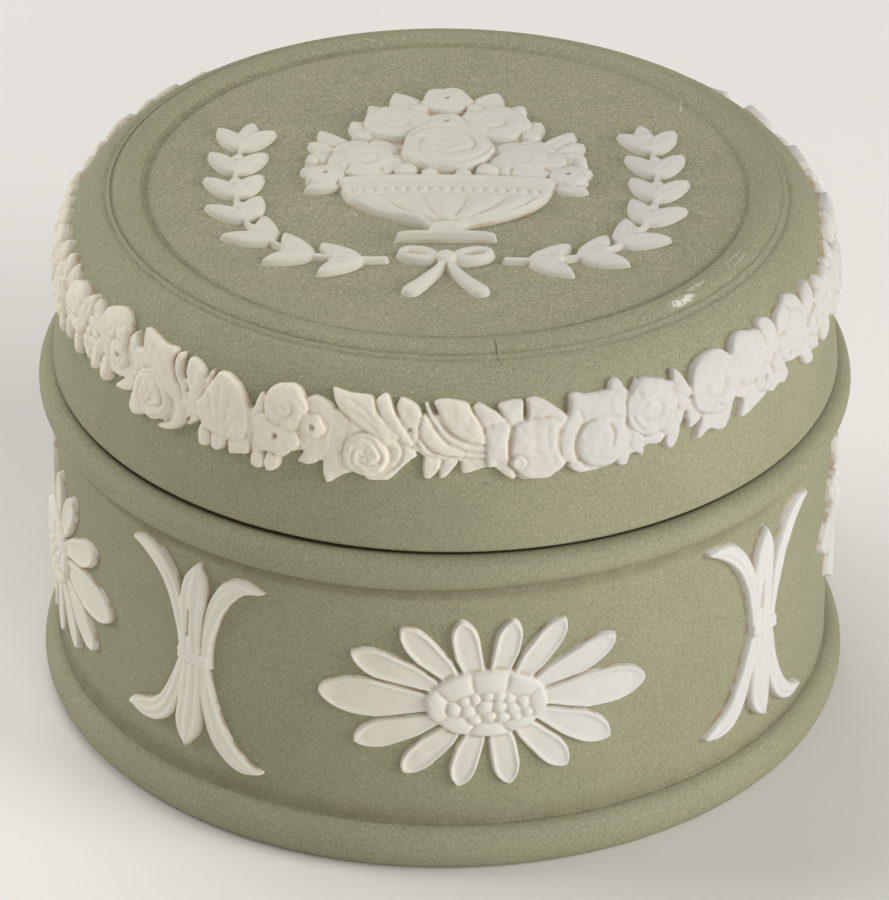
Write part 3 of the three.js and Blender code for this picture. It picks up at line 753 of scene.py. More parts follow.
def white_clay():
    """Pale unglazed clay, thin enough in hollows for the green to tint it, and browned along its edges and
    recesses, partly stain and partly painted shade. It is painted lighter and warmer on its shaded left and
    darker on its lit right, on the wall and more on the side of the lid, and dust greys it on top."""
    material, tree, shader = new_material("white_clay_finish")
    grain = use(tree, GRAIN, Grain=0.12, Clouds=0.05, Grain_Size=0.3)
    place = across_back_up(tree)
    # Painted light and shade: the white is lighter and warmer towards the left, which the lamps light less, and
    # darker towards the right, which the main lamp lights most.
    toward_shade_side = ramp(tree, place["X"], 20 * MM, -10 * MM)
    colour = toned(tree, grain["Tone"], blended(tree, toward_shade_side, LIT_SIDE_WHITE, SHADE_SIDE_WHITE))
    on_top = ramp(tree, place["Z"], 53.5 * MM, 54.5 * MM)
    colour = blended(tree, times(tree, on_top, 0.5), colour, toned(tree, grain["Tone"], DUSTY_WHITE))
    on_lid = ramp(tree, place["Z"], 42 * MM, 44 * MM)
    on_side = times(tree, on_lid, calculate(tree, "SUBTRACT", 0.5, on_top))
    # Painted light and shade on the side of the lid: lighter and warmer on the shaded left, darker on the lit
    # right, more strongly than on the wall.
    lid_side_painted_light = blended(tree, toward_shade_side, LID_LIT_SIDE_WHITE, LID_SHADE_SIDE_WHITE)
    colour = blended(tree, on_side, colour, toned(tree, grain["Tone"], lid_side_painted_light))
    thickness = marked(tree, "thickness")
    colour = blended(tree, times(tree, ramp(tree, thickness, 0.7, 0.2), 0.2), colour, GREEN_BELOW)
    # Brown along the low sides of each form, in patches and less on top: partly stain, partly painted shade
    # along the edges.
    stain_and_shade = ramp(tree, noise(tree, 1.6, 3.0), 0.42, 0.66, 0.0, calculate(tree, "SUBTRACT", 0.8, on_top))
    colour = blended(tree, times(tree, ramp(tree, thickness, 0.44, 0.2), stain_and_shade), colour, EDGE_BROWN_AND_SHADE)
    # Brown in the recesses between forms: partly stain, partly painted shade where the forms crowd together.
    deep = times(tree, use(tree, HOLLOWS, From=0.015, Full=0.13, Broken=0.6)["Mask"], 0.6)
    colour = blended(tree, deep, colour, RECESS_BROWN_AND_SHADE)
    pits = times(tree, use(tree, SPECKS, Size=0.9, Share=0.06, Spread=0.18)["Mask"], 0.35)
    colour = blended(tree, pits, colour, WHITE_PIT)
    feed(tree, shader["Base Color"], colour)
    feed(tree, shader["Roughness"], ramp(tree, grain["Height"], 0.3, 0.7, 0.74, 0.9))
    shader["Specular IOR Level"].default_value = 0.3
    feed(tree, shader["Normal"], bumped(tree, calculate(tree, "SUBTRACT", grain["Height"], pits), 0.02))
    return material


WHITE_CLAY = white_clay()

daisy_u, daisy_v = flat_grid(*DAISY_BOUNDS, DAISY_STEP)
daisy_height = softened(np.maximum(petals(daisy_u, daisy_v), boss(daisy_u, daisy_v)), 1)
for number, (node, place) in enumerate(DAISY_PLACES.items()):
    height = touched(daisy_height, DAISY_STEP, (0.04, 1.6, 11 + number))
    flower = pressing(f"pressed_{node}", daisy_u, daisy_v, height, on_wall(*place))
    hand_over(flower, WHITE_CLAY, "base", node)

# Palmettes: four sprays of pale clay between the daisies, three leaves up and three down, bound by a
# narrow tie in the middle. They come from one mould and are laid on the wall as the daisies are.

# Angle round the box and height of the middle of each palmette
PALMETTE_PLACES = {
    "palmette_1": (52.7, 18.85), "palmette_2": (142, 19.25), "palmette_3": (232, 19.25),
    "palmette_4": (321.7, 19.25),
}
PALMETTE_BOUNDS = (-10.0, 9.8, -12.4, 12.6)
PALMETTE_STEP = 0.11

# Leaves: for each place along the middle of a leaf, where it lies across and up and the half width there
PALMETTE_LEAVES = [
    [(-0.9, 0.3, 0.7), (-1.25, 3, 0.8), (-1.75, 5.5, 0.9), (-2.6, 7.7, 1.05), (-3.8, 9.4, 1.15),
     (-5.4, 10.5, 1.05), (-7.5, 10.8, 0.45)],
    [(1.7, 0.4, 0.65), (2.05, 3, 0.75), (2.65, 5.5, 0.95), (3.4, 7.4, 1.1), (4.6, 9.1, 1.15),
     (6.3, 10.15, 0.95), (8.6, 10.0, 0.15)],
    [(-1.1, -0.5, 0.65), (-1.8, -3, 0.9), (-2.8, -5.6, 1.15), (-3.9, -7.5, 1.3), (-5.2, -8.6, 1.35),
     (-6.9, -9.1, 1.15), (-8.8, -9.3, 0.5)],
    [(1.5, -0.8, 0.65), (1.8, -3.5, 0.85), (2.35, -6, 1.1), (3.15, -8.1, 1.25), (4.4, -9.8, 1.2),
     (6.1, -10.95, 0.9), (8.1, -11.15, 0.25)],
    [(0.2, 0.2, 1.3), (0.1, 3, 1.45), (0.2, 5.5, 1.65), (0.4, 7.5, 1.7), (0.7, 9.4, 1.3), (1.05, 11.1, 0.2)],
    [(0.2, -0.6, 1.3), (0, -3.5, 1.45), (-0.3, -5.8, 1.65), (-0.6, -7.8, 1.7), (-0.8, -9.4, 1.3),
     (-0.85, -10.8, 0.3)],
]
PALMETTE_TOPS = [0.84, 0.84, 0.84, 0.84, 0.95, 0.95]

# How far hands moved the tip of each leaf across and up when the spray was laid, in the order above
PALMETTE_BENDS = {
    "palmette_1": [(-0.8, 1.1), (-0.3, 1.6), (0.8, -0.6), (-0.1, 0), (-1.1, 0.5), (1.45, -0.1)],
    "palmette_2": [(0.5, -0.3), (0, 0.5), (-0.3, 0.3), (0.6, 0.2), (0.3, -0.2), (-0.4, 0.2)],
    "palmette_3": [(-0.3, 0.2), (0.4, 0.3), (0.5, 0), (-0.4, 0.4), (-0.5, 0), (0.3, 0.1)],
    "palmette_4": [(0, 0)] * 6,
}
PALMETTE_WAISTS = {"palmette_1": -0.45, "palmette_2": 0.1, "palmette_3": -0.1, "palmette_4": 0}


def frond(u, v, knots, top):
    """A curved leaf along knots that give place and half width, rounded across, with two soft ridges."""
    track = smooth_path(knots)
    share, off = beside(u, v, track[:, :2])
    half = np.interp(share, along(track[:, :2]) / along(track[:, :2])[-1], track[:, 2])
    across = np.clip(off / np.maximum(half, 0.05), -1, 1)
    ridges = 0.07 * np.cos(across * 3 * np.pi) * eased((half - 0.4) / 0.6)
    return raised(half - np.abs(off), top * (0.66 + 0.34 * np.sqrt(1 - across ** 2)) + ridges, 0.26)


def cuff(u, v, left, right, bottom, top_edge, top=1.05, wraps=2):
    """A short band bound round a bunch of leaves, its wraps side by side with a soft groove between."""
    inside = np.minimum(np.minimum(u - left, right - u), np.minimum(v - bottom, top_edge - v))
    wrap = (v - bottom) / (top_edge - bottom) * wraps
    within = np.abs(wrap - wraps / 2) < wraps / 2 - 0.4
    grooves = -0.14 * np.exp(-((wrap - np.round(wrap)) / 0.09) ** 2) * within
    return raised(inside, top + grooves, 0.34)


def palmette(u, v, bends, waist):
    """The highest of the six leaves and the tie at each place. A bend moves a leaf's places by its share
    along the leaf, squared, and the waist moves the roots and the tie."""
    height = np.full(u.shape, -SINK)
    for knots, top, bent in zip(PALMETTE_LEAVES, PALMETTE_TOPS, bends):
        part = (np.linspace(0, 1, len(knots)) ** 2)[:, None]
        moved = knots + part * [*bent, 0] + (1 - part) * [waist, 0, 0]
        height = np.maximum(height, frond(u, v, moved, top))
    slit, off = beside(u, v, [(waist - 0.35, 2.4), (waist * 0.8 - 0.05, 5.6)])
    height = height - 0.4 * np.exp(-(off / 0.13) ** 2) * (slit > 0) * (slit < 1)
    return np.maximum(height, cuff(u - waist, v + 0.08 * (u - waist), -1.8, 2.45, -0.85, 1.0, 1.08))


palmette_u, palmette_v = flat_grid(*PALMETTE_BOUNDS, PALMETTE_STEP)
for number, (node, place) in enumerate(PALMETTE_PLACES.items()):
    height = softened(palmette(palmette_u, palmette_v, PALMETTE_BENDS[node], PALMETTE_WAISTS[node]), 1)
    height = touched(height, PALMETTE_STEP, (0.04, 1.4, 31 + number))
    spray = pressing(f"pressed_{node}", palmette_u, palmette_v, height, on_wall(*place))
    hand_over(spray, WHITE_CLAY, "base", node)

# Garland: eight lengths of pale clay laid end to end round the lid, full of roses, small round
# flowers, buds and leaves that hide their stem. Four moulds, each used twice.
GARLAND_MIDDLE = 11.55
GARLAND_RADIUS = 38.58
GARLAND_BOUNDS = (-17.0, 17.0, -5.4, 5.2)
GARLAND_STEP = 0.11
GARLAND_BED_TOP = 0.78
BED_HALF_LENGTH = 15.6
GARLAND_FIRST_TURN = -40.5
GARLAND_LENGTHS = 8
LEAF_MARGIN = 0.4
LUMP_SHOULDER = 1.0
FORM_CREASE = 0.32
LOWEST_CREASE = 0.5

lid_side_length = along(lid_side)


def on_lid_side(turn):
    """Lays flat work on the lid's side, which leans in and rounds over: v runs up the side's outline."""
    ahead = np.gradient(lid_side, axis=0)
    lean = np.arctan2(ahead[:, 1], ahead[:, 0])

    def lay(u, v, height):
        up = GARLAND_MIDDLE + v
        r, z = (np.interp(up, lid_side_length, lid_side[:, axis]) for axis in (0, 1))
        slope = np.interp(up, lid_side_length, lean)
        r, z = r + height * np.sin(slope), z - height * np.cos(slope)
        angle = np.radians(turn) + u / GARLAND_RADIUS
        return np.column_stack([r * np.sin(angle), -r * np.cos(angle), z])
    return lay


def around(u, v, middle):
    """Distance from a middle and angle round it, for each grid place."""
    return np.hypot(u - middle[0], v - middle[1]), np.arctan2(v - middle[1], u - middle[0])


def leaf(u, v, root_u, root_v, tip_u, tip_v, width, sway=0.0, top=0.86):
    """A pointed leaf that bends sideways by sway: thin at its edge, one half higher, softly creased."""
    root, tip = np.array([root_u, root_v]), np.array([tip_u, tip_v])
    aside = np.array([root[1] - tip[1], tip[0] - root[0]]) * sway
    share, off = beside(u, v, bend(root, (root + tip) / 2 + aside, tip)[::4])
    inside = width / 2 * bellied(share, 0.42, 0.7) - np.abs(off)
    crown = (top - LEAF_MARGIN) * eased(inside / (0.34 * width))
    crease = 0.09 * np.exp(-(off / 0.16) ** 2) * eased(share * 4) * eased((1 - share) * 4)
    fold = 0.06 * np.tanh(off / 0.3) * eased(inside / 0.5)
    return raised(inside, LEAF_MARGIN + crown - crease + fold, 0.2)


def lump(u, v, knots, top=1.0):
    """A soft form with a drawn outline, the closed curve through its knots: a steep side, then a surface
    that rounds up over its shoulder to a nearly flat top. The knots are across, up, across, up and so on."""
    knots = np.reshape(knots, (-1, 2))
    near = (u[0] > knots[:, 0].min() - 1) & (u[0] < knots[:, 0].max() + 1)
    x, y = u[:, near], v[:, near]
    outline = smooth_path(np.vstack([knots, knots[:1]]), 5 * len(knots) + 1)
    best, crossings = np.full(x.shape, np.inf), np.zeros(x.shape, int)
    for start, end in zip(outline, outline[1:]):
        reach = end - start
        part = np.clip(((x - start[0]) * reach[0] + (y - start[1]) * reach[1]) / (reach @ reach + 1e-9), 0, 1)
        best = np.minimum(best, np.hypot(x - start[0] - part * reach[0], y - start[1] - part * reach[1]))
        if start[1] != end[1]:
            crosses = start[0] + (y - start[1]) * reach[0] / reach[1]
            crossings += ((start[1] > y) != (end[1] > y)) & (x < crosses)
    inside = np.where(crossings % 2 == 1, best, -best)
    shoulder = np.sqrt(1 - (1 - np.clip(inside / LUMP_SHOULDER, 0, 1)) ** 2)
    height = np.full(u.shape, -SINK)
    height[:, near] = raised(inside, top * (0.7 + 0.3 * shoulder), 0.17)
    return height


# Laps of a rose: place from its middle, depth, half length and turn
ROSE_LAPS = [
    (0.84, 0.2, 1.5, -0.9), (0.8, 0.16, 1.1, 1.9), (0.62, 0.2, 1.3, 0.6), (0.6, 0.17, 1.2, 3.6),
    (0.42, 0.16, 1.2, 5.0),
]


def rose(u, v, middle_u, middle_v, radius, top=1.3):
    """A full rose: a disc of petals wound inwards. Each groove is an arc that starts and ends where one
    petal laps over the next, with the petal's lip along its inner side, and small buds lie in its heart."""
    away, angle = around(u, v, (middle_u, middle_v))
    edge = radius * (1 + 0.03 * np.cos(3 * angle + 1) + 0.02 * np.cos(5 * angle))
    share = away / edge
    shape = 0.02 - 0.16 * share ** 3
    for place, depth, length, turn in ROSE_LAPS:
        past = np.angle(np.exp(1j * (angle - turn)))
        wound = share - place - 0.06 * past
        lap = np.exp(-(wound / 0.05) ** 2) - 0.45 * np.exp(-((wound + 0.12) / 0.06) ** 2)
        shape -= depth * lap * eased((length - np.abs(past)) / 0.4)
    heart = np.exp(-(share / 0.26) ** 4)
    shape += heart * (0.1 * np.cos(4 * angle + 9 * share) * eased(share / 0.12) - 0.05)
    return raised(edge - away, top + shape - 0.1, 0.24)


def folded_ball(u, v, middle_u, middle_v, radius, top=1.3):
    """A half-open bloom: a smooth ball with a short curled fold right of its middle."""
    away = np.hypot(u - middle_u, v - middle_v)
    share = away / radius
    fold, off = beside(u, v, bend(
        (middle_u + 0.1 * radius, middle_v + 0.72 * radius),
        (middle_u + 0.52 * radius, middle_v + 0.5 * radius),
        (middle_u + 0.4 * radius, middle_v - 0.15 * radius),
        (middle_u + 0.12 * radius, middle_v - 0.3 * radius),
    )[::4])
    groove = 0.26 * np.exp(-(off / (0.06 * radius)) ** 2) * eased(fold * 4) * eased((1 - fold) * 4)
    return raised(radius - away, top * (0.62 + 0.38 * np.sqrt(np.clip(1 - share ** 2, 0, 1))) - groove, 0.24)


def open_rose(u, v, middle_u, middle_v, radius, turn=0.0, top=1.25):
    """A half-open rose: a ball of folded petals, each fold a crescent, inside a ring of wide petals with a
    soft crease wherever two of them meet."""
    away, angle = around(u, v, (middle_u, middle_v))
    angle = angle - np.radians(turn)
    wide = []
    for aim in np.radians(turn) + 2 * np.pi * np.arange(5) / 5:
        place = (middle_u + 0.55 * radius * np.cos(aim), middle_v + 0.55 * radius * np.sin(aim))
        sizes = 0.62 * radius, 0.44 * radius, np.degrees(aim) + 75, 0.42 * top, 0.78 * top
        wide.append(cushion(u, v, place, *sizes))
    wide = np.sort(wide, axis=0)
    height = wide[-1] - 0.2 * np.exp(-((wide[-1] - wide[-2]) / 0.07) ** 2) * (wide[-2] > 0)
    inner = 0.68 * radius
    share = away / inner
    fold = share - 0.74 - 0.14 * np.cos(angle)
    curl = share - 0.42 + 0.16 * np.cos(angle + 0.9)
    folds = -0.22 * np.exp(-(fold / 0.08) ** 2) * (0.3 + 0.7 * eased(0.5 + 0.6 * np.cos(angle)))
    folds -= 0.2 * np.exp(-(curl / 0.09) ** 2) * (0.3 + 0.7 * eased(0.5 - 0.6 * np.cos(angle - 0.5)))
    folds -= 0.12 * np.exp(-(share / 0.14) ** 2) + 0.06 * eased(-curl / 0.1)
    ball = top * (0.7 + 0.3 * np.sqrt(np.clip(1 - share ** 2, 0, 1))) + folds
    return np.maximum(height, raised(inner - away, ball, 0.22))


def round_flower(u, v, middle_u, middle_v, radius, count=5, top=1.25):
    """A plump round flower: a dome with faint creases between its petals and a small oval dip in it."""
    away, angle = around(u, v, (middle_u, middle_v))
    edge = radius * (1 + 0.025 * np.cos(count * angle) + 0.02 * np.cos(2 * angle + 1))
    share = away / edge
    creases = -0.1 * np.exp(-((np.cos(count * angle / 2) * share) / 0.14) ** 2)
    creases *= eased((share - 0.4) / 0.3)
    dip = np.hypot((u - middle_u + 0.08 * radius) / 0.46, (v - middle_v + 0.04 * radius) / 0.4) / radius
    ring = -0.26 * np.exp(-((dip - 0.85) / 0.22) ** 2) * (0.6 + 0.4 * np.cos(angle + 0.9))
    ring -= 0.12 * np.exp(-(dip / 0.3) ** 2)
    dome = top * (0.7 + 0.3 * np.sqrt(np.clip(1 - share ** 2, 0, 1)))
    return raised(edge - away, dome + creases + ring, 0.24)


def floret(u, v, middle_u, middle_v, radius, top=1.15):
    """A small open flower with faint petals, a raised ring and a deep hole in its middle."""
    away, angle = around(u, v, (middle_u, middle_v))
    edge = radius * (0.95 + 0.05 * np.cos(5 * angle + 0.7))
    share = away / edge
    creases = -0.08 * np.exp(-((np.cos(2.5 * angle + 0.35) * share) / 0.14) ** 2)
    creases *= eased((share - 0.35) / 0.3)
    hole = -0.8 * np.exp(-(away / 0.24) ** 4) + 0.1 * np.exp(-((away - 0.52) / 0.2) ** 2)
    return raised(edge - away, top - 0.22 * share ** 2 + creases + hole, 0.24)


def bud(u, v, middle_u, middle_v, radius, top=0.9):
    """A small smooth bead."""
    return cushion(u, v, (middle_u, middle_v), radius, radius, 0, 0.5, top)


def bed(u, v, edges):
    """The low ground that the forms stand on, between a lower and an upper edge given along its length."""
    places, low, high = np.array(edges, float).T
    ground = np.minimum(v - np.interp(u, places, low), np.interp(u, places, high) - v)
    return raised(np.minimum(ground, BED_HALF_LENGTH - np.abs(u)), GARLAND_BED_TOP, 0.3)


def creased(u, v, height, knots, depth, width=0.13):
    """A soft groove pressed along the curve through its knots, fading out at both ends."""
    knots = np.reshape(knots, (-1, 2))
    share, off = beside(u, v, smooth_path(knots, 5 * len(knots)))
    fade = eased(share * 5) * eased((1 - share) * 5)
    return np.where(height > 0.2, height - depth * np.exp(-(off / width) ** 2) * fade, height)


def laid_over(u, v, height, forms):
    """Forms laid one over another on the ground, each pressing down what lies round and under its outline,
    more in some places than in others."""
    crease = FORM_CREASE * (0.6 + 0.5 * rough_touch(u.shape, u[0, 1] - u[0, 0], 1.8, 31))
    for form, *sizes in forms:
        top = form(u, v, *sizes)
        pressed = height - crease * softened((top > 0).astype(float), 3)
        height = np.maximum(np.maximum(pressed, np.minimum(height, LOWEST_CREASE)), top)
    return height


# Bed of each mould: places along the length with its lower and upper edge there
GARLAND_BEDS = [
    [
        (-15, -2, 2.5), (-12, -2.2, 3), (-9, -1.8, 3), (-7, -1.5, 2), (-5, -3, 3.2), (-2, -4.1, 3),
        (0, -3.1, 1.8), (1.5, -1.9, 2.4), (2.3, -1.8, 2.4), (3, -2.8, 2.8), (5, -3.4, 3), (7, -3.0, 1.5),
        (8, -2.8, 1.2), (9.5, -3.4, 2.4), (11, -3, 3.4), (12.5, -2.6, 3), (14, -2, 3), (15.5, -1.4, 2.8),
    ],
    [
        (-15.5, -2.5, 3), (-13, -2.4, 2.6), (-11, -3.2, 3.5), (-8, -3.2, 3), (-6.5, -1.4, 2.6),
        (-5.6, -0.9, 2.6), (-4.5, -1.8, 3.0), (-2, -1.9, 3.6), (0.5, -1.9, 3), (2, -1.8, 2.3), (4, -2.8, 2.2),
        (6, -3.2, 3), (8, -1.8, 1.6), (9, -2.4, 2.4), (11, -3.2, 3), (14, -2.4, 2.6), (15.5, -2.4, 3),
    ],
    [
        (-15.5, -2.4, 2.6), (-13, -2.2, 3), (-10.5, -1.8, 2.4), (-9.2, -1.6, 2.4), (-8.4, -1.6, 1),
        (-7.2, -1.8, 0.8), (-5, -3, 3.4), (-2.6, -1.4, 2.8), (-1, -2.4, 3.4), (1, -2.8, 3), (3, -2.4, 3),
        (5, -2.2, 2), (6.4, -1.2, 2), (8, -1.4, 3.4), (10, -2.4, 3), (12, -2, 2.4), (15.5, -2, 2),
    ],
    [
        (-15.5, -1.8, 1.8), (-10, -2.2, 2.4), (0, -1.8, 2.2), (10, -2.2, 2.4), (15.5, -1.8, 1.8),
    ],
]

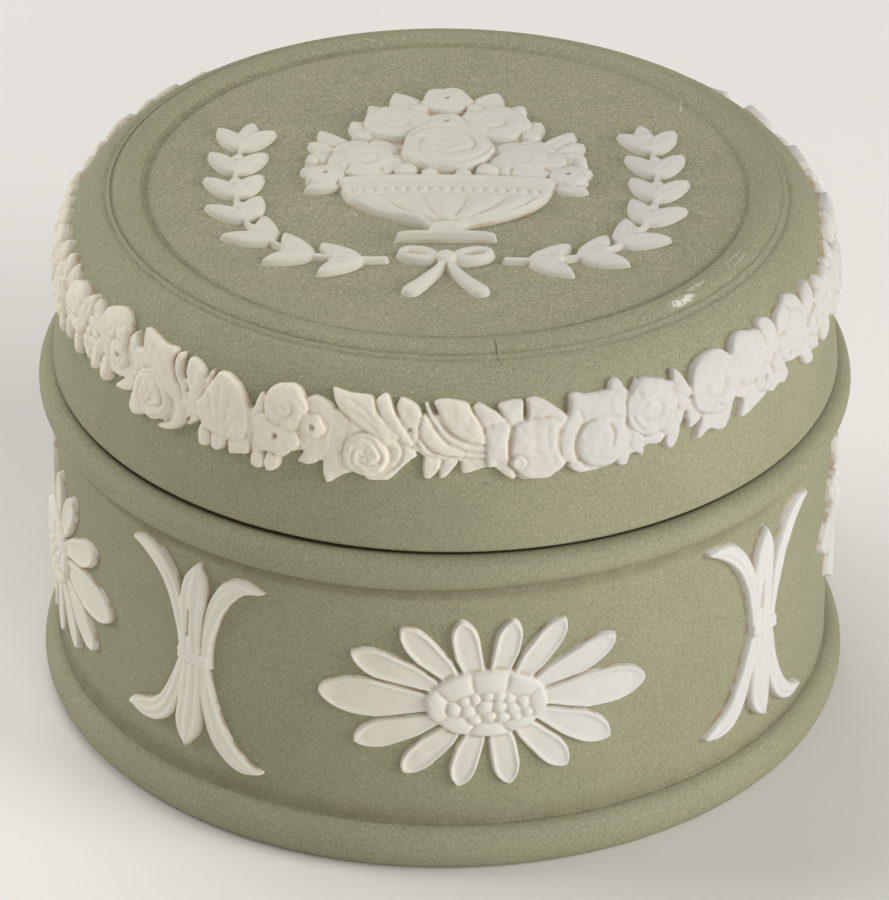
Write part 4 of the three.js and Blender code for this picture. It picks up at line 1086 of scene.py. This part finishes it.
# Forms of each mould: a drawn outline with its height, or a flower with its middle and size
GARLAND_MOULDS = [
    [
        (lump, [-12.5, -2.4, -12.6, 1, -10, 1.8, -7.5, 2.6, -6, 2, -5.8, -1, -8, -1.8, -10, -2.3], 0.72),
        (leaf, -12.8, 0.6, -15.2, 3.8, 2.6, 0.1), (leaf, -13.4, 0, -16.2, 1.6, 2.5),
        (leaf, -11.6, -0.8, -12.3, -4.3, 2.6), (leaf, -13.4, -0.8, -14.6, -4.0, 2.5),
        (round_flower, -10.6, 2.3, 2.45), (floret, -9.3, 0.5, 1.7),
        (lump, [-7.6, 3.8, -7.1, 3.4, -6.6, 2.4, -7.2, 1.4, -8.3, 2.4], 0.8),
        (lump, [0.05, 3.95, 0.9, 3.9, 2, 3.4, 2.8, 2.6, 2.9, 1.3, 2, 0.4, 0.9, 0.5, 0.3, 1.6, 0, 2.6], 0.88),
        (lump, [-1.3, 3.85, -0.8, 3.9, -0.55, 3.0, -0.3, 2.1, 0.5, 1.2, 1.0, 0.2, 0.2, -0.3, -0.8, 1.2, -1.5,
            2.6], 0.94),
        (lump, [-6.5, 4.5, -5.3, 4.4, -3.5, 4.0, -1.7, 3.95, -1.6, 2.7, -0.9, 1.4, 0, 0.3, -0.3, -1, -3, -0.6,
            -5.2, 1, -6, 2.7], 1.05),
        (lump, [0.7, -2.4, 0.3, -3.3, -1, -4.4, -2.7, -4.65, -2.9, -4.2, -1.6, -3.4, -1, -1.5, -1.4, 0.6,
            -0.2, 0, 0.6, -1.2], 0.9),
        (lump, [-6.9, -5.05, -6.1, -5.0, -5, -4.3, -4.6, -3.2, -6, -2.2, -7.2, -2.6, -7.4, -4.0], 0.78),
        (lump, [-9.8, -3.0, -9.5, -3.5, -8.2, -3.3, -7.2, -2.8, -6.2, -1.6, -7, -1.0, -8.5, -1.8], 0.75),
        (lump, [0.3, -3.5, 0.8, -2.4, 1.6, -1.5, 2.4, -1.8, 1.8, -2.5, 1, -3.1], 0.75),
        (rose, -3.95, -1.55, 2.75), (lump, [2.9, 3.65, 3.3, 3.3, 3.5, 2.2, 3.2, 1.0, 2.5, 1.4], 0.85),
        (lump, [2.3, -4.45, 3, -4.6, 3.65, -4.2, 3.75, -3, 3.2, -2.0, 2.3, -2.2, 2.1, -3.3], 0.95),
        (lump, [3.8, -4.4, 4.5, -4.6, 5.1, -4.1, 5.5, -3, 4.8, -2.1, 3.8, -2.2, 3.65, -3.3], 0.95),
        (lump, [5.9, -4.45, 7.0, -4.15, 8.1, -3.7, 8, -2.0, 6.2, -2.0, 5.6, -3.2], 0.98),
        (lump, [3.9, 3.7, 4.7, 3.8, 5.7, 3.5, 6.7, 2.8, 7.5, 1.6, 7.85, 0, 7.8, -1.6, 6.8, -2.7, 5, -2.9, 3,
            -2.5, 2.0, -1.2, 2.1, 0.2, 3.2, 2.2], 1.08),
        (lump, [8.2, -4.3, 8.1, -2, 8.0, 0.5, 8.5, 2.4, 9.0, 2.9, 9.9, 2.0, 10, -2.4, 9.2, -3.4], 0.82),
        (lump, [13.4, 3.3, 14.5, 3.8, 15.6, 3.5, 16.6, 2.8, 16.8, 1, 16.5, -1.5, 15.5, -2.1, 13.6, -1.2, 12.4,
            0.6], 0.74), (floret, 10.8, -0.9, 2.6, 1.15), (round_flower, 11.7, 2.15, 2.35),
        (floret, 14.5, 0.8, 1.5, 1.15),
        (lump, [8.1, -3.6, 8.2, -4.8, 8.9, -5.15, 9.6, -4.8, 9.7, -3.6, 9, -2.9], 0.85),
        (lump, [9.5, -4.2, 9.8, -5.0, 10.6, -5.05, 11.25, -4.3, 11.3, -3, 10, -2.8], 0.85),
        (lump, [12.8, -3.45, 13.3, -2.5, 14.3, -1.6, 15.4, -1.6, 15.2, -2.9, 14.2, -3.55], 0.78),
    ],
    [
        (lump, [-16.6, 3.4, -15.5, 3.6, -13.8, 2.9, -12.2, 2.3, -12.2, 0, -12.8, -2.4, -15, -2.9, -16.8,
            -3.2], 0.72),
        (lump, [-7.4, 4.55, -6.6, 4.4, -5.5, 3.8, -5.1, 2.8, -5.4, 1.3, -5.6, 0, -6.4, 0.2, -7, 1.8, -7.8,
            3.4], 0.9),
        (lump, [-9.0, 4.8, -8.5, 4.65, -8.1, 4.0, -7.5, 2.8, -6.6, 1.5, -5.9, 0.1, -6.8, -0.4, -8, 1.0, -9.3,
            2.6, -9.8, 4], 1.0),
        (lump, [-14.4, 4.75, -12.6, 4.55, -10.8, 4.5, -9.9, 4.3, -9.4, 3.1, -8.3, 1.9, -7.2, 0.8, -8.4, -0.4,
            -10.4, 0.8, -12.3, 2.1, -13.6, 3.0], 1.05),
        (lump, [-5.5, -1.3, -6.4, -2, -7.3, -3, -8.4, -4.05, -10.2, -4.15, -10.6, -3.6, -8.8, -2.6, -8.4, 0.6,
            -7, 0.2, -5.8, -0.5], 0.92),
        (lump, [-14.3, -5.15, -13.8, -5.0, -12.6, -4.0, -11.6, -3.5, -12.2, -2.0, -13.2, -1.2, -14.4, -1.6,
            -14.8, -3.6], 0.8), (rose, -10.45, -1.4, 2.4),
        (lump, [-5.1, -3.7, -4.3, -3.65, -3.6, -2.9, -3.2, -1.8, -3.6, -0.9, -4.9, -0.9, -5.2, -2.4], 0.8),
        (lump, [-3.7, -3.75, -2.8, -3.45, -2.1, -2.6, -1.6, -1.5, -2.8, -1.0, -3.5, -2.2], 0.8),
        (lump, [-1.6, -3.05, -0.8, -3.1, 0.4, -2.7, 1.4, -2.3, 1.2, -1.4, 0, -1.0, -1.5, -1.3], 0.85),
        (lump, [-5.9, 0.6, -5.3, 0.7, -4.4, -0.4, -3, -1.0, 0.9, -1.4, 0.9, -2.0, -1, -1.7, -3.6, -1.4, -5.2,
            -0.9], 0.9),
        (lump, [-5.3, 2.9, -4.7, 3.0, -3.6, 1.3, -2.3, 0.0, -0.8, -0.6, 0.9, -0.7, 0.9, -1.4, -1.6, -1.25,
            -3.6, -0.95, -4.7, -0.1, -5.5, 1.3], 1.0),
        (lump, [-5.05, 4.15, -4.6, 4.1, -4.2, 3.3, -3.2, 1.9, -2, 0.85, -0.6, 0.2, 0.9, 0, 0.9, -0.7, -1,
            -0.55, -2.6, 0.2, -3.8, 1.6, -4.8, 3.1], 1.0),
        (lump, [0.2, 4.2, 1, 3.85, 2.2, 3.1, 3.2, 2.1, 2.9, 1.0, 0.9, 1.0, 0.1, 2.4, -0.4, 3.6], 1.0),
        (lump, [-4.2, 4.2, -3.4, 4.45, -2, 4.4, -0.7, 4.05, -0.2, 3.2, 0.4, 2.2, 0.9, 1.2, 0.9, 0, -0.6, 0.25,
            -2, 1.0, -3.2, 2.2], 1.16),
        (lump, [0.6, 1.9, 1.9, 2.15, 3.2, 1.95, 3.1, 0, 3.05, -2.3, 2, -2.45, 0.8, -2.2, 0.75, 0], 1.2),
        (lump, [1.3, -2.3, 2.4, -3.3, 3.3, -3.95, 3.9, -3.6, 3.4, -2.3, 2.2, -1.7], 0.85),
        (lump, [3.6, -3.5, 4.2, -3.95, 5.0, -4.05, 5.2, -3.3, 4.2, -2.7], 0.85),
        (lump, [2.0, 3.6, 2.5, 4.05, 3.6, 4.2, 4.65, 4.15, 4.7, 3.0, 4.5, 1.8, 3.2, 1.7, 2.5, 2.7], 0.95),
        (lump, [4.9, 4.2, 5.9, 4.3, 7, 3.85, 8.3, 2.8, 8.9, 2.1, 8.2, 0.8, 6.8, 0.6, 4.9, 1.6, 4.85, 3],
            1.02),
        (lump, [3.5, 2.0, 3.2, 0.5, 3.1, -1.2, 3.4, -2.7, 4.6, -3.75, 6.3, -4.05, 7.8, -3.5, 8.7, -2.6, 8.1,
            -1.6, 7.75, -0.4, 7.9, 0.8, 8.1, 1.7, 7, 2.3, 5, 2.3], 1.22),
        (cushion, (3.9, -1.9), 0.95, 0.92, 0, 1.1, 1.42),
        (lump, [8.6, -3.1, 9.3, -3.85, 10.6, -4.2, 12.3, -4.05, 12.6, -3, 10.4, -2.6, 9.2, -1.8], 0.92),
        (lump, [13.1, 3.6, 13.5, 4.4, 14.2, 4.85, 14.9, 4.3, 15.15, 3.3, 14.8, 2.2, 13.4, 2.4], 0.95),
        (lump, [8.1, 1.2, 9, 2.7, 9.2, 3.9, 10.0, 4.2, 10.8, 3.85, 12, 3.85, 13.5, 3.8, 14.7, 2.6, 15, 1, 14,
            -0.4, 10, -0.4], 1.0),
        (lump, [8.1, -2.5, 7.85, -0.8, 8.1, 1.0, 8.9, 2.4, 9.7, 2.7, 10.4, 1.8, 10, 0, 10, -2.2, 9.1, -2.9],
            1.0),
        (lump, [15.1, 2.7, 16, 3.9, 16.7, 4.0, 16.7, -3.2, 15.6, -3.35, 14.6, -3.2, 14.6, -1, 14.9, 1], 0.88),
        (lump, [13.7, -4.1, 14.6, -4.4, 15, -3.8, 15, -2.8, 13.8, -2.4], 0.8),
        (folded_ball, 12.25, -1.05, 2.85),
    ],
    [
        (leaf, -14.9, 0.8, -16.4, 4.5, 2.6),
        (lump, [-16.9, 4.2, -16.1, 4.65, -15.4, 4.1, -15.0, 3.0, -15.4, 1, -16.6, 0, -16.9, 2], 0.9),
        (lump, [-16.9, -0.6, -15, -0.3, -13, -0.6, -11, -1.6, -11, -2.4, -12, -3.05, -13.4, -2.9, -14, -3.4,
            -15, -3.3, -15.4, -4.15, -16.2, -4.3, -16.8, -3.6], 0.82),
        (lump, [-11.5, 3.4, -10, 3.1, -8.6, 2.0, -8.2, 0.4, -8.9, -0.8, -9.6, -2.3, -11, -2.5, -12, -1],
            0.88), (lump, [-9.85, 4.2, -9.2, 3.9, -8.4, 2.7, -7.9, 1.2, -8.8, 0.8, -9.8, 2, -10.1, 3], 0.92),
        (lump, [-11.2, -3.85, -10.5, -4.05, -10, -3.5, -9.4, -2.2, -9.8, -1.2, -10.9, -1.8, -11.4, -3], 0.8),
        (round_flower, -12.7, 1.15, 3.0, 7, 1.3),
        (lump, [-8.8, -2.45, -8, -2.5, -7.2, -2.1, -6.7, -1.1, -7.2, -0.1, -8.4, 0.3, -8.6, -1], 0.85),
        (lump, [-8.0, -4.0, -7, -4.0, -6, -3.6, -5, -4.05, -4, -4.1, -3.5, -3.5, -2.9, -2.4, -2.6, -1.5, -4,
            -0.8, -6.4, -0.8, -7.3, -2.4], 0.85),
        (lump, [1, 2.4, 3, 2.6, 5.4, 2.4, 5.6, 0, 5.9, -1.3, 6.2, -2.4, 5.4, -3.25, 4.4, -3.0, 3.4, -3.4, 2.5,
            -3, 1.4, -1.6, 0.6, 0], 0.86),
        (lump, [-2.2, -3.6, -1.4, -3.95, 0.4, -3.55, 2.2, -3.0, 3, -1.9, 2, -0.6, 0.2, -0.8, -1.1, -1.7],
            0.9), (lump, [2.2, 4.3, 2.9, 4.7, 3.8, 4.5, 4.8, 3.7, 4.6, 2.0, 2.8, 1.8], 0.92),
        (lump, [-2.7, 3.2, -1.6, 4.4, -0.4, 4.7, 1, 4.35, 2.2, 3.9, 2.7, 2, 1.7, 0, -0.6, -0.9, -2, 0.4],
            1.1), (round_flower, -4.95, 1.15, 3.35, 5, 1.3), (floret, 1.9, -1.0, 1.7),
        (bud, 4.3, -0.4, 1.2, 1.05),
        (lump, [5.6, -1.3, 7, -1.8, 9, -2.3, 9.6, -3.4, 10.5, -3.9, 11.6, -3.6, 12, 0, 8, 0.6], 0.88),
        (open_rose, 7.9, 1.5, 3.4, 60), (leaf, 11.4, 0.8, 13.3, 4.4, 2.8),
        (leaf, 11.2, -0.6, 13.4, -3.6, 2.7), (leaf, 13, 0, 16.0, 2.6, 2.4), (floret, 12.4, 0.0, 1.7),
    ],
    [
        (leaf, -13.6, 0.4, -15.6, 3.9, 2.6), (leaf, -13.4, -0.8, -15, -4.2, 2.6),
        (open_rose, -11.4, 0.3, 3.2, 200), (leaf, -8.8, 0.6, -8.2, 4.2, 2.7),
        (leaf, -9.4, -1, -9.4, -4.4, 2.6), (leaf, -6.2, -1.8, -7.0, -4.5, 2.4),
        (round_flower, -5.6, -0.6, 3.0, 5), (leaf, -4.6, 1.4, -5.4, 4.4, 2.6),
        (leaf, -2.8, 1.2, -2.6, 4.5, 2.6), (leaf, -1.4, -0.8, -1.7, -4.3, 2.7), (floret, -1.9, -0.8, 1.7),
        (round_flower, 0.9, 1.5, 2.5, 6), (leaf, 1.8, -0.8, 1.6, -4.0, 2.5), (leaf, 3.2, 0.8, 3.8, 4.4, 2.6),
        (rose, 5.6, -0.5, 2.9), (leaf, 6.4, -2.2, 7.6, -4.5, 2.6), (leaf, 6.2, 1.4, 6.6, 4.3, 2.4),
        (leaf, 9, 0.4, 8.5, 4.3, 2.6), (leaf, 9.2, -1, 9.5, -4.2, 2.5), (bud, 9.0, 0.4, 1.2),
        (round_flower, 11.8, 0.9, 2.7, 5), (leaf, 12.2, -1.2, 12.2, -4.3, 2.6),
        (leaf, 13.8, 0.4, 14.6, 3.9, 2.6), (leaf, 13.8, -0.6, 15.8, -3.4, 2.6),
    ],
]

# Grooves of each mould: the places they run through, then depth and width
GARLAND_GROOVES = [
    [
        ([-4.6, 3.4, -3, 2.6, -1.6, 1.2], 0.12, 0.2), ([-5.8, 3.2, -4.6, 2.2, -2.6, 1.6], 0.12, 0.2),
        ([0.45, 0.7, 0.6, 0.65, 0.75, 0.7], 0.3, 0.25), ([4.6, -2.2, 3.8, 0, 3.4, 1.8], 0.11, 0.25),
        ([4.8, -2.4, 4.6, 0.4, 4.5, 3.2], 0.11, 0.25), ([5.0, -2.4, 5.6, 0.4, 5.8, 2.9], 0.11, 0.25),
        ([5.3, -2.4, 6.5, -0.4, 7.2, 1.2], 0.11, 0.25), ([11.2, -3.2, 10, -3.0, 8.6, -3.4], 0.16, 0.14),
        ([-11.8, 0.2, -10.8, -0.8, -9.2, -1.2], 0.12, 0.16), ([-7.8, 1.6, -7.2, 0.4, -6.8, -0.8], 0.12, 0.16),
        ([13.2, 2.8, 14, 2.1, 15.8, 2.3], 0.12, 0.15), ([13.4, -0.2, 14.6, -0.7, 16.2, -0.6], 0.12, 0.15),
        ([1.1, 3.3, 1.3, 2.2, 1.2, 1.2], 0.1, 0.2),
        ([-0.9, -0.6, -0.6, -1.8, -1.2, -3.2, -2.4, -4.0], 0.16, 0.14),
        ([2.1, -0.6, 3, -1.6, 4.6, -2.1], 0.1, 0.2),
    ],
    [
        ([-12.8, 3.9, -11, 3.2, -9.2, 1.6], 0.1, 0.2), ([-12.4, 3.0, -10.6, 2.1, -9, 0.8], 0.12, 0.2),
        ([-6.45, 1.75, -6.4, 1.5, -6.35, 1.3], 0.5, 0.22),
        ([-7.7, 0.4, -7.0, -0.6, -7.4, -2, -8.8, -3.3], 0.2, 0.15),
        ([-3.6, -0.35, -2, -0.65, 0.4, -0.95], 0.1, 0.12), ([-3.2, 3.6, -1.9, 2.4, -0.6, 1.4], 0.05, 0.3),
        ([3.55, -1.9, 3.9, -1.6, 4.2, -1.9, 3.9, -2.2, 3.6, -2], 0.14, 0.12),
        ([5.6, 3.6, 5.5, 1, 5.8, -2], 0.06, 0.3), ([6.9, 3, 6.7, 0.6, 7.1, -2.6], 0.06, 0.3),
        ([4.8, -2.9, 6.6, -3.2, 8, -2.6], 0.06, 0.2),
        ([11.6, 1.75, 10.2, 0.95, 9.45, -0.6, 9.55, -2.2, 10.6, -3.5, 12, -4], 0.2, 0.14),
        ([15.8, 0.4, 16.3, -0.6, 16.8, -1], 0.25, 0.14), ([10.2, 3.4, 11.6, 2.9, 13.6, 2.6], 0.1, 0.2),
    ],
    [
        ([-15.1, 1.2, -14.4, -0.2, -13.6, -1.2], 0.2, 0.15),
        ([-8.75, -0.2, -8.85, -1.2, -8.9, -2.6], 0.8, 0.16),
        ([-4.9, -0.8, -4.8, -0.95, -4.7, -0.8], 0.3, 0.22), ([-1.6, 3.6, -1.2, 2, -0.4, 0.6], 0.12, 0.2),
        ([0.6, 4, 1, 2.4, 0.8, 0.6], 0.1, 0.2), ([-1.4, -3.2, 0.2, -2.6, 1.8, -1.8], 0.12, 0.18),
        ([-11, 2, -10, 1, -9.6, -0.6], 0.12, 0.18), ([3, 1.6, 4, 0.6, 5, -1.4], 0.12, 0.2),
    ],
    [],
]

garland_u, garland_v = flat_grid(*GARLAND_BOUNDS, GARLAND_STEP)
garland_heights = []
for seed, (edges, mould, grooves) in enumerate(zip(GARLAND_BEDS, GARLAND_MOULDS, GARLAND_GROOVES)):
    waver = 0.07 * rough_touch(garland_u.shape, GARLAND_STEP, 0.8, 41 + seed)
    height = laid_over(garland_u, garland_v + waver, bed(garland_u, garland_v, edges), mould)
    for knots, depth, width in grooves:
        height = creased(garland_u, garland_v, height, knots, depth, width)
    garland_heights.append(softened(height, 1))
for number in range(GARLAND_LENGTHS):
    height = garland_heights[number % len(garland_heights)]
    height = touched(height, GARLAND_STEP, (0.065, 1.3, 51 + number), (0.045, 0.5, 61 + number))
    turn = GARLAND_FIRST_TURN + 360 / GARLAND_LENGTHS * number
    length = pressing(f"pressed_garland_{number + 1}", garland_u, garland_v, height, on_lid_side(turn))
    hand_over(length, WHITE_CLAY, "lid", f"garland_length_{number + 1}")

# Panel ornament: a footed bowl of flowers between two leafy branches, with a tied bow below, in the
# same pale clay. Four pressings, laid flat on the lid's panel.
PANEL_STEP = 0.12
BOWL_BOUNDS = (-16, 16, -12, 21.0)
BRANCH_LEFT_BOUNDS = (-26, -4, -20, 13.5)
BRANCH_RIGHT_BOUNDS = (4, 26, -20, 13.5)
BOW_BOUNDS = (-6, 6, -22.6, -12)
BOWL_BOTTOM = -11.5
BOWL_RIM_TOP = 0.5

# Outline of the bowl: height above its foot and half width there
BOWL_PROFILE = [
    (0, 5.2), (0.5, 5.1), (1.0, 4.0), (1.5, 2.2), (2.4, 1.7), (3.0, 2.6), (4.0, 5.1), (5.2, 7.2), (6.6, 8.9),
    (8.2, 10.1), (9.6, 10.6), (10.4, 10.7), (10.5, 11), (12, 11),
]
BRANCH_SPINE = [(6, -15.4), (24.5, -17), (20.5, 9.5)]
BRANCH_LEAF_PAIRS = 7
BRANCH_LEAF_LENGTH = 5.4
BRANCH_SPREAD = np.radians(38)
BOW_HEIGHT = -15.6


def on_panel(u, v, height):
    """Lays flat work on the lid's flat panel, its up side towards the back."""
    return np.column_stack([u, v, PANEL + height])


def bowl(u, v):
    """A bowl on a stem: half its width follows its height, its body swells towards the viewer, the lower
    part has gadroons, a row of small beads runs under its rim, and rim, knop and foot are ridged."""
    up = v - BOWL_BOTTOM
    half = np.interp(up, *np.transpose(BOWL_PROFILE))
    inside = np.minimum(np.minimum(half - np.abs(u), up), BOWL_RIM_TOP - v)
    across = np.clip(u / half, -1, 1)
    swell = np.sqrt(1 - 0.96 * across ** 2)
    body = eased((up - 2.9) / 0.6)
    gadroons = 0.42 * np.abs(np.cos(np.arcsin(across) * 7)) ** 0.6 * body * eased((8.1 - up) / 0.5)
    beads = 0.3 * np.sqrt(np.clip(1 - ((up - 9.2) / 0.5) ** 2 - (np.sin(u * np.pi / 1.1) / 0.9) ** 2, 0, 1))
    rim, foot, knop = ((up - 11.3) / 0.6) ** 4, ((up - 0.5) / 0.4) ** 4, ((up - 2.4) / 0.3) ** 2
    ridges = 0.4 * (np.exp(-rim) + np.exp(-foot) + np.exp(-knop))
    return raised(inside, 0.42 + 0.62 * swell * (0.6 + 0.4 * body) + gadroons + beads + ridges, 0.24)


def both_sides(form, *sizes):
    """A form on the left and its mirror image on the right. The tip and the sway of a leaf turn over too."""
    signs = (-1, 1, -1, 1, 1, -1) if form is leaf else (-1, 1, 1, 1, 1)
    return (form, *sizes), (form, *(sign * size for sign, size in zip(signs, sizes)))


def bouquet(u, v):
    """The flowers and leaves that fill the bowl, the outer ones first and the middle rose on top."""
    forms = [
        *both_sides(leaf, -8.0, 5.7, -14.4, 8.6, 4.2, 0.1),
        *both_sides(leaf, -5.2, 9.0, -10.0, 13.2, 4.2, 0.1),
        *both_sides(leaf, -9.4, 6.6, -13.2, 11.2, 2.8, 0.1),
        *both_sides(leaf, -2.3, 14.8, -5.5, 19.6, 3.7, 0.1),
        *both_sides(leaf, -4.8, 13.0, -8.2, 16.6, 2.8, 0.1),
        *both_sides(leaf, -10.3, 2.2, -15.0, 2.9, 3.7, 0.15),
        *both_sides(leaf, -10.6, 0.6, -14.6, -1.4, 2.6, 0.15),
        (leaf, 0, 15, 0, 20.1, 3.4),
        *both_sides(leaf, -11.2, 4.5, -14.4, 5.5, 3.2),
        *both_sides(round_flower, -4.9, 11.8, 3.7, 5, 1.45),
        (floret, 0, 16.8, 2.9, 1.25),
        (open_rose, -8.0, 4.2, 4.2, 120, 1.65), (open_rose, 8.0, 4.2, 4.2, 60, 1.65),
        *both_sides(floret, -12.2, 0.9, 2.2, 1.2),
        (floret, 0, 11.6, 2.2, 1.4),
        *both_sides(bud, -3.0, 15.0, 1.2, 1.2), *both_sides(bud, -8.6, 9.3, 1.2, 1.25),
        *both_sides(bud, -7.5, 14.6, 0.8, 1.1), *both_sides(bud, -13.6, 4.0, 0.8, 1.1),
        (rose, 0, 6.0, 4.8, 1.95),
        *both_sides(bud, -4.1, 1.8, 1.4, 1.5), *both_sides(bud, -1.7, 1.0, 1.1, 1.4),
    ]
    height = raised(np.minimum(9.6 - np.hypot(u, (v - 6.8) * 0.9), v + 0.6), 0.42, 0.3)
    return laid_over(u, v, height, forms)


def branch(u, v, side):
    """A curved stem with pairs of pointed leaves, a bud at its tip and berries between the leaves."""
    spine = bend(*[(side * x, y) for x, y in BRANCH_SPINE])
    share, off = beside(u, v, spine)
    height = raised(0.55 - 0.2 * share - np.abs(off), 0.62 - 0.4 * off ** 2, 0.25)
    length = along(spine)
    for number in range(BRANCH_LEAF_PAIRS):
        place = length[-1] * (number + 0.5) / BRANCH_LEAF_PAIRS
        root = spaced(spine, [place])[0]
        ahead = spaced(spine, [place + 0.3])[0] - root
        heading = np.arctan2(ahead[1], ahead[0])
        for turn in (-BRANCH_SPREAD, BRANCH_SPREAD):
            reach = np.array([np.cos(heading + turn), np.sin(heading + turn)])
            start, tip = root - 0.4 * reach, root + BRANCH_LEAF_LENGTH * reach
            height = np.maximum(height, leaf(u, v, *start, *tip, 2.9, -0.1 * np.sign(turn), 0.85))
        berry = spaced(spine, [place + 2.6])[0]
        height = np.maximum(height, bud(u, v, berry[0], berry[1], 0.75, 0.95))
    end = spine[-1]
    return np.maximum(height, leaf(u, v, end[0], end[1] - 1, end[0] - side * 0.9, end[1] + 3.2, 2.4, 0, 0.85))


def bow(u, v):
    """A tied ribbon: two hollow loops, two tails that widen towards their ends and a knot."""
    height = np.full(u.shape, -SINK)
    for side in (1, -1):
        tail = bend((0, BOW_HEIGHT), (side * 1.2, BOW_HEIGHT - 3), (side * 3.4, BOW_HEIGHT - 5.8))
        share, off = beside(u, v, tail)
        height = np.maximum(height, raised(0.55 + 0.5 * share - np.abs(off), 0.7 + 0.1 * np.cos(off * 5), 0.28))
        loop = cushion(u, v, (side * 2.6, BOW_HEIGHT + 0.8), 2.5, 1.5, side * 18, 0.7, 1.0)
        hole = cushion(u, v, (side * 2.9, BOW_HEIGHT + 0.9), 1.5, 0.65, side * 18, 0.0, 0.35)
        height = np.maximum(height, loop - np.maximum(hole + SINK, 0) * 0.9)
    return np.maximum(height, cushion(u, v, (0, BOW_HEIGHT), 1.1, 1.3, 0, 0.8, 1.25))


def lay_on_panel(name, bounds, form, seed):
    """Presses one flat form between the given bounds and lays it on the panel."""
    u, v = flat_grid(*bounds, PANEL_STEP)
    height = touched(softened(form(u, v), 1), PANEL_STEP, (0.03, 1.5, seed))
    flat_piece = pressing(f"pressed_{name}", u, v, height, on_panel)
    hand_over(flat_piece, WHITE_CLAY, "lid", f"panel_{name}")


def filled_bowl(u, v):
    """The bowl with its flowers."""
    return np.maximum(bowl(u, v), bouquet(u, v))


lay_on_panel("bowl", BOWL_BOUNDS, filled_bowl, 71)
lay_on_panel("branch_left", BRANCH_LEFT_BOUNDS, lambda u, v: branch(u, v, -1), 72)
lay_on_panel("branch_right", BRANCH_RIGHT_BOUNDS, lambda u, v: branch(u, v, 1), 73)
lay_on_panel("bow", BOW_BOUNDS, bow, 74)

# Setting: a plain pale table top and soft studio light. The main lamp stands low at the right, one more at
# the left, one high up behind on the left, a weak one near the viewer, and pale walls fill in the rest.
FLOOR_REACH = 2.0
BACKDROP_FROM = 0.3
BACKDROP_FULL = 1.1
BACKDROP_COLOUR = linear(226, 223, 217)
WALL_LIGHT = (0.13, 0.1287, 0.1261, 1)
BLACK = (0, 0, 0, 1)
LAMP_SIZE = 0.7
LAMP_DISTANCE = 1.2
LAMP_AIM_HEIGHT = 0.03


def seen(tree):
    """1 where the camera looks straight at it, 0 for light on its way."""
    return tree.nodes.new("ShaderNodeLightPath").outputs["Is Camera Ray"]


def floor_finish():
    """Matt pale paper with a barely visible tone in it. Far from the box, past the reach of the lamps, it
    turns into an evenly pale backdrop."""
    material, tree, shader = new_material("pale_paper")
    away = tree.nodes.new("ShaderNodeVectorMath")
    away.operation = "LENGTH"
    tree.links.new(here(tree), away.inputs[0])
    far = times(tree, ramp(tree, away.outputs["Value"], BACKDROP_FROM, BACKDROP_FULL), seen(tree))
    paper = toned(tree, use(tree, GRAIN, Grain=0.0, Clouds=0.01)["Tone"], linear(234, 231, 226))
    feed(tree, shader["Base Color"], blended(tree, far, paper, BLACK))
    feed(tree, shader["Emission Color"], blended(tree, far, BLACK, BACKDROP_COLOUR))
    shader["Emission Strength"].default_value = 1
    shader["Roughness"].default_value = 0.9
    shader["Specular IOR Level"].default_value = 0.2
    return material


floor_corners = np.array([[-1, -1, 0], [1, -1, 0], [1, 1, 0], [-1, 1, 0]]) * FLOOR_REACH / MM
floor = mesh_piece("table_top", floor_corners, [[0, 1, 2, 3]])
floor.data.materials.append(floor_finish())


def lamp(name, power, turn, height):
    """A square soft lamp that faces the box from an angle round it and an angle above the table."""
    light = bpy.data.lights.new(name, "AREA")
    light.energy = power
    light.size = LAMP_SIZE
    stand = bpy.data.objects.new(name, light)
    turn, height = np.radians(turn), np.radians(height)
    aim = np.array([np.sin(turn) * np.cos(height), -np.cos(turn) * np.cos(height), np.sin(height)])
    stand.matrix_world = (
        Matrix.Translation(LAMP_DISTANCE * aim + [0, 0, LAMP_AIM_HEIGHT])
        @ Matrix.Rotation(turn, 4, "Z")
        @ Matrix.Rotation(np.pi / 2 - height, 4, "X")
    )
    bpy.context.scene.collection.objects.link(stand)


lamp("right_lamp", 11.0, 65, 19)
lamp("left_lamp", 7.7, -104, 26)
lamp("back_lamp", 5.0, -152, 59)
lamp("front_lamp", 3.8, 15, 32)

world = bpy.data.worlds.new("pale_walls")
world.use_nodes = True
walls = world.node_tree.nodes["Background"].inputs
sky = blended(world.node_tree, seen(world.node_tree), WALL_LIGHT, BACKDROP_COLOUR)
feed(world.node_tree, walls["Color"], sky)
walls["Strength"].default_value = 1
bpy.context.scene.world = world
